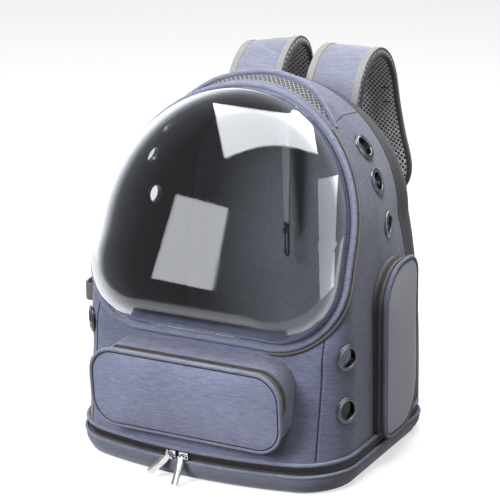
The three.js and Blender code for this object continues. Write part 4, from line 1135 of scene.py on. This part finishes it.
def make_strap(name, side, clear):
    path, ups = strap_path(side, math.radians(STRAP_BANK[name]))
    up, across = frames_along(path, ups)
    count = len(path)
    widths = np.array([STRAP_WIDTH * end_taper(t) for t in np.linspace(0, 1, count)])
    profiles = []
    for w in widths:
        h = w / 2
        run, end = np.linspace(-h + 1, h - 1, 15), np.array([h - 0.2, h, h, h - 0.2])
        u = np.concatenate([run, end, -run, -end])
        crown = 1 - np.linspace(-1, 1, 15) ** 4
        crown_top, crown_low = 4.4 + 0.9 * crown, -4.2 - 1.1 * crown
        v = np.concatenate([crown_low, [-3.6, -2.2, 2.6, 3.9], crown_top, [3.9, 2.6, -2.2, -3.6]])
        profiles.append(np.stack([u, v], 1))
    pad = cut(sweep(f"{name}_strap_pad", path, ups, profiles), [clear])
    set_materials(pad, STRAP_FABRIC, STRAP_MESH)
    for p in pad.data.polygons:
        c = np.array(p.center) * 1000
        i = int(((path - c) ** 2).sum(1).argmin())
        if (c - path[i]) @ up[i] < 1.0:
            p.material_index = 1
    finish_piece(pad, None, [f"{name}_strap"])
    tapes, rows, rolls = [], [], []
    for sign in (-1, 1):
        line = path + across * (sign * (widths / 2 - 3.9))[:, None] + up * 5.0
        tapes.append(sweep("tape", line, ups, band_profile(8.4, 1.5, 0.6)))
        sewn = line - across * (sign * 3.0)
        rows.append(stitches("row", sewn[12:], up[12:], 2.6, 1.6, 0.7, 0.3, lift=0.7))
        edge = path + across * (sign * (widths / 2 - 0.4))[:, None] - up * 2.4
        rolls.append(sweep("roll", edge, ups, band_profile(5.4, 5.8, 2.6)))
    finish_piece(cut(joined(f"{name}_strap_binding", tapes), [clear]), BINDING)
    finish_piece(joined(f"{name}_strap_thread", rows), THREAD, angle=80)
    # the edge rolls get the binding with painted shade, darkened where they lie on the strap's mesh side
    finish_piece(cut(joined(f"{name}_strap_edge", rolls), [clear]), SHADED_BINDING)
    bars = []
    for share in (0.55, 0.62):
        i = int(share * count)
        for u in (-22, 22):
            middle = path[i] - up[i] * 5.4 + across[i] * u
            bar = np.linspace(middle - across[i] * 5, middle + across[i] * 5, 5)
            bars.append(tube("bar", bar, 0.8, up[i], False, 8))
    finish_piece(joined(f"{name}_strap_tacks", bars), DARK_THREAD)


def dressed(node, material, width, body=BAG):
    """A fine piece from a solid's own shape, its edges rounded."""
    solid = frame["nodes"][node]
    mesh = solid.data.copy()
    mesh.transform(solid.matrix_world)
    obj = bpy.data.objects.new(f"{node}_piece", mesh)
    bpy.context.scene.collection.objects.link(obj)
    merged(obj)
    bevel = obj.modifiers.new("round", "BEVEL")
    bevel.width = width / 1000
    bevel.segments = 3
    bevel.limit_method = "ANGLE"
    bevel.angle_limit = math.radians(35)
    bpy.context.view_layer.update()
    applied(obj)
    finish_piece(obj, material, [node], body)


def make_webbing(name):
    dressed(f"{name}_webbing", WEBBING, 0.6)
    dressed(f"{name}_buckle", PLASTIC, 0.9)
    dressed(f"{name}_anchor", FABRIC, 1.2)
    lo, hi = (np.array(c) * 1000 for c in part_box(f"{name}_anchor"))
    x, _, z = (lo + hi) / 2
    cross = [((-11, -9), (11, 6)), ((11, -9), (-11, 6)), ((-13, -10), (13, -10)), ((-11, 7), (11, 7))]
    rows = []
    for (a, b), (c, d) in cross:
        line = np.linspace((x + a, hi[1], z + b), (x + c, hi[1], z + d), 12)
        rows.append(stitches("row", line, (0.0, 1.0, 0.0), 2.0, 1.0, 0.7, 0.35))
    finish_piece(joined(f"{name}_anchor_thread", rows), DARK_THREAD, angle=80)


HANDLE_ROOT = (-155.0, -2.0, 170.0)
HANDLE_HALF = 50.0
HANDLE_REACH = 44.0
HANDLE_DROOP = math.radians(15)


def make_handle():
    x, y, z = HANDLE_ROOT
    a = math.pi * np.linspace(0, 1, 60)
    out = HANDLE_REACH * np.abs(np.sin(a)) ** 0.8
    path = np.stack([x - out, y - HANDLE_HALF * np.cos(a), z - out * math.sin(HANDLE_DROOP)], 1)
    path = path[path[:, 0] < x - 4]
    ups = np.stack([path[:, 0] - x - 5, (path[:, 1] - y) * 0.8, np.zeros(len(path))], 1)
    strap = sweep("side_handle_webbing", path, ups, band_profile(20, 3, 1.0))
    finish_piece(strap, WEBBING, ["side_handle"])


def make_tether():
    dressed("tether_strap", TETHER, 0.4)
    dressed("tether_clip", PLASTIC, 0.6)
    dressed("tether_clip_gate", CHROME, 0.25, "gate")


def make_sliders():
    for side in ("left", "right"):
        dressed(f"zip_slider_{side}", CHROME, 0.5)
        dressed(f"zip_pull_{side}", CHROME, 0.45, f"pull_{side}")


make_rings()
make_shell()
make_seams()
make_window()
make_window_zip()
make_vent()
make_base()
make_mat()
make_pockets()
strap_clear = body_solid("outer", -0.3)
for name, side in (("left", -1), ("right", 1)):
    make_strap(name, side, strap_clear)
drop(strap_clear)
for name in ("left", "right"):
    make_webbing(name)
make_handle()
make_tether()
make_sliders()


# Studio

def area_light(name, place, size, radiance):
    """A square light that no camera or glossy ray sees, aimed at the bag's middle."""
    data = bpy.data.lights.new(name, "AREA")
    data.size = size
    data.energy = radiance * math.pi * size ** 2
    obj = bpy.data.objects.new(name, data)
    obj.location = place
    obj.rotation_mode = "QUATERNION"
    obj.rotation_quaternion = (Vector((0, 0, 0.2)) - Vector(place)).to_track_quat("-Z", "Y")
    obj.visible_camera = False
    obj.visible_glossy = False
    bpy.context.scene.collection.objects.link(obj)


def pixel_ray(px, py):
    """The camera's ray through a place in the photograph's frame."""
    cam = bpy.context.scene.camera
    data = cam.data
    u = (px / PHOTO_SIZE - 0.5 + data.shift_x) * data.sensor_width / data.lens
    v = (0.5 - py / PHOTO_SIZE + data.shift_y) * data.sensor_width / data.lens
    return cam.matrix_world.translation, (cam.matrix_world.to_3x3() @ Vector((u, v, -1))).normalized()


def glowing(panel, name, strength):
    """A lit panel that only reflections see."""
    s = new_shader(name)
    s.nodes.remove(s.surface)
    glow = s.add("ShaderNodeEmission", {"Strength": strength})
    s.fill(s.nodes["Material Output"], {"Surface": glow.outputs[0]})
    panel.data.materials.append(s.owner)
    panel.visible_camera = False
    panel.visible_diffuse = False
    panel.visible_shadow = False


def softbox(name, dome, corners, bow, distance, radiance):
    """A lit panel, curved so that its reflection in the dome fills these corners: left top, right top, right
    foot, left foot. bow lifts the middle of its lower edge."""
    a, b, c, d = (Vector(corner) for corner in corners)
    mesh = bpy.data.objects["window_dome"].data
    shares = np.linspace(0, 1, 17)
    rows = []
    for v in shares:
        row = []
        for u in shares:
            place = (a * (1 - u) + b * u) * (1 - v) + (d * (1 - u) + c * u) * v
            start, ahead = pixel_ray(place.x, place.y - bow * v * math.sin(math.pi * u))
            hit, _, index, _ = dome.ray_cast(start, ahead)
            corners_of = [mesh.vertices[k] for k in mesh.polygons[index].vertices]
            weights = poly_3d_calc([v.co for v in corners_of], hit)
            facing = sum((v.normal * w for v, w in zip(corners_of, weights)), Vector()).normalized()
            row.append(tuple(hit + (ahead - 2 * ahead.dot(facing) * facing) * distance))
        rows.append(row)
    points = np.array(rows)
    panel = mesh_object(name, points.reshape(-1, 3), grid_faces(len(shares), len(shares)), 1.0)
    glowing(panel, name, radiance)


TOP_BOX = [(213, 103), (311, 117), (318, 154), (224, 158)]
WINDOW_BOX = [(176, 194), (228, 208), (212, 291), (151, 278)]
STRIP_BOX = [(318, 179), (338, 175), (334, 286), (320, 302)]


def studio_world():
    """White all round for the camera, and a dim room with a bright side for reflections and diffuse light."""
    s = Shader(bpy.data.worlds.new("studio"))
    coords = s.add("ShaderNodeTexCoord")
    kinds = s.add("ShaderNodeLightPath")
    strengths = []
    for aim, low, high, first, last in (((-0.85, 0.5, -0.15), 0.35, 1.7, 0.6, 0.9),
                                        ((-0.48, 0.88, 0.1), 0.25, 0.3, -0.3, 0.45)):
        dot = s.nodes.new("ShaderNodeVectorMath")
        dot.operation = "DOT_PRODUCT"
        s.fill(dot, {0: coords.outputs["Generated"], 1: aim})
        span = s.add("ShaderNodeMapRange", {"Value": dot.outputs["Value"], "From Min": first,
                                            "From Max": last, "To Min": low, "To Max": high})
        span.interpolation_type = "SMOOTHSTEP"
        strengths.append(span.outputs["Result"])
    strength = s.add("ShaderNodeMix", {0: kinds.outputs["Is Diffuse Ray"], 2: strengths[0], 3: strengths[1]})
    room = s.fill(s.nodes["Background"], {"Color": (0.97, 0.98, 1.0, 1), "Strength": strength.outputs[0]})
    white = s.add("ShaderNodeBackground", {"Strength": 1.15})
    mix = s.add("ShaderNodeMixShader", {0: kinds.outputs["Is Camera Ray"], 1: room.outputs[0],
                                        2: white.outputs[0]})
    s.fill(s.nodes["World Output"], {"Surface": mix.outputs[0]})
    return s.owner


def flat_sheet(name, lo, hi, z):
    """A flat rectangle, in metres."""
    (a, b), (c, d) = lo, hi
    return mesh_object(name, [(a, b, z), (c, b, z), (c, d, z), (a, d, z)], [(0, 1, 2, 3)], 1.0)


def make_stage():
    floor = flat_sheet("studio_floor", (-6, -6), (6, 6), -0.0005)
    s = new_shader("studio_floor")
    s.fill(s.surface, {"Base Color": (0.45, 0.45, 0.455, 1), "Roughness": 0.8, "Specular IOR Level": 0.1,
                       "Emission Color": (1, 1, 1, 1), "Emission Strength": 0.6})
    floor.data.materials.append(s.owner)
    floor.visible_diffuse = False
    floor.visible_glossy = False
    bpy.context.scene.world = studio_world()
    area_light("key", (-0.9, -2.1, 1.5), 1.2, 24)
    area_light("top", (0.2, -0.1, 2.4), 1.4, 10.5)
    deps = bpy.context.evaluated_depsgraph_get()
    dome = BVHTree.FromObject(bpy.data.objects["window_dome"], deps)
    softbox("top_box", dome, TOP_BOX, 11, 0.9, 11.5)
    softbox("window_box", dome, WINDOW_BOX, 0, 0.9, 6.6)
    softbox("strip_box", dome, STRIP_BOX, 0, 0.9, 4.3)
    glowing(flat_sheet("table_glow", (-2, -0.44), (2, 1.5), 0.0), "table_glow", 1.25)
    bpy.context.scene.view_settings.view_transform = "Standard"


make_stage()
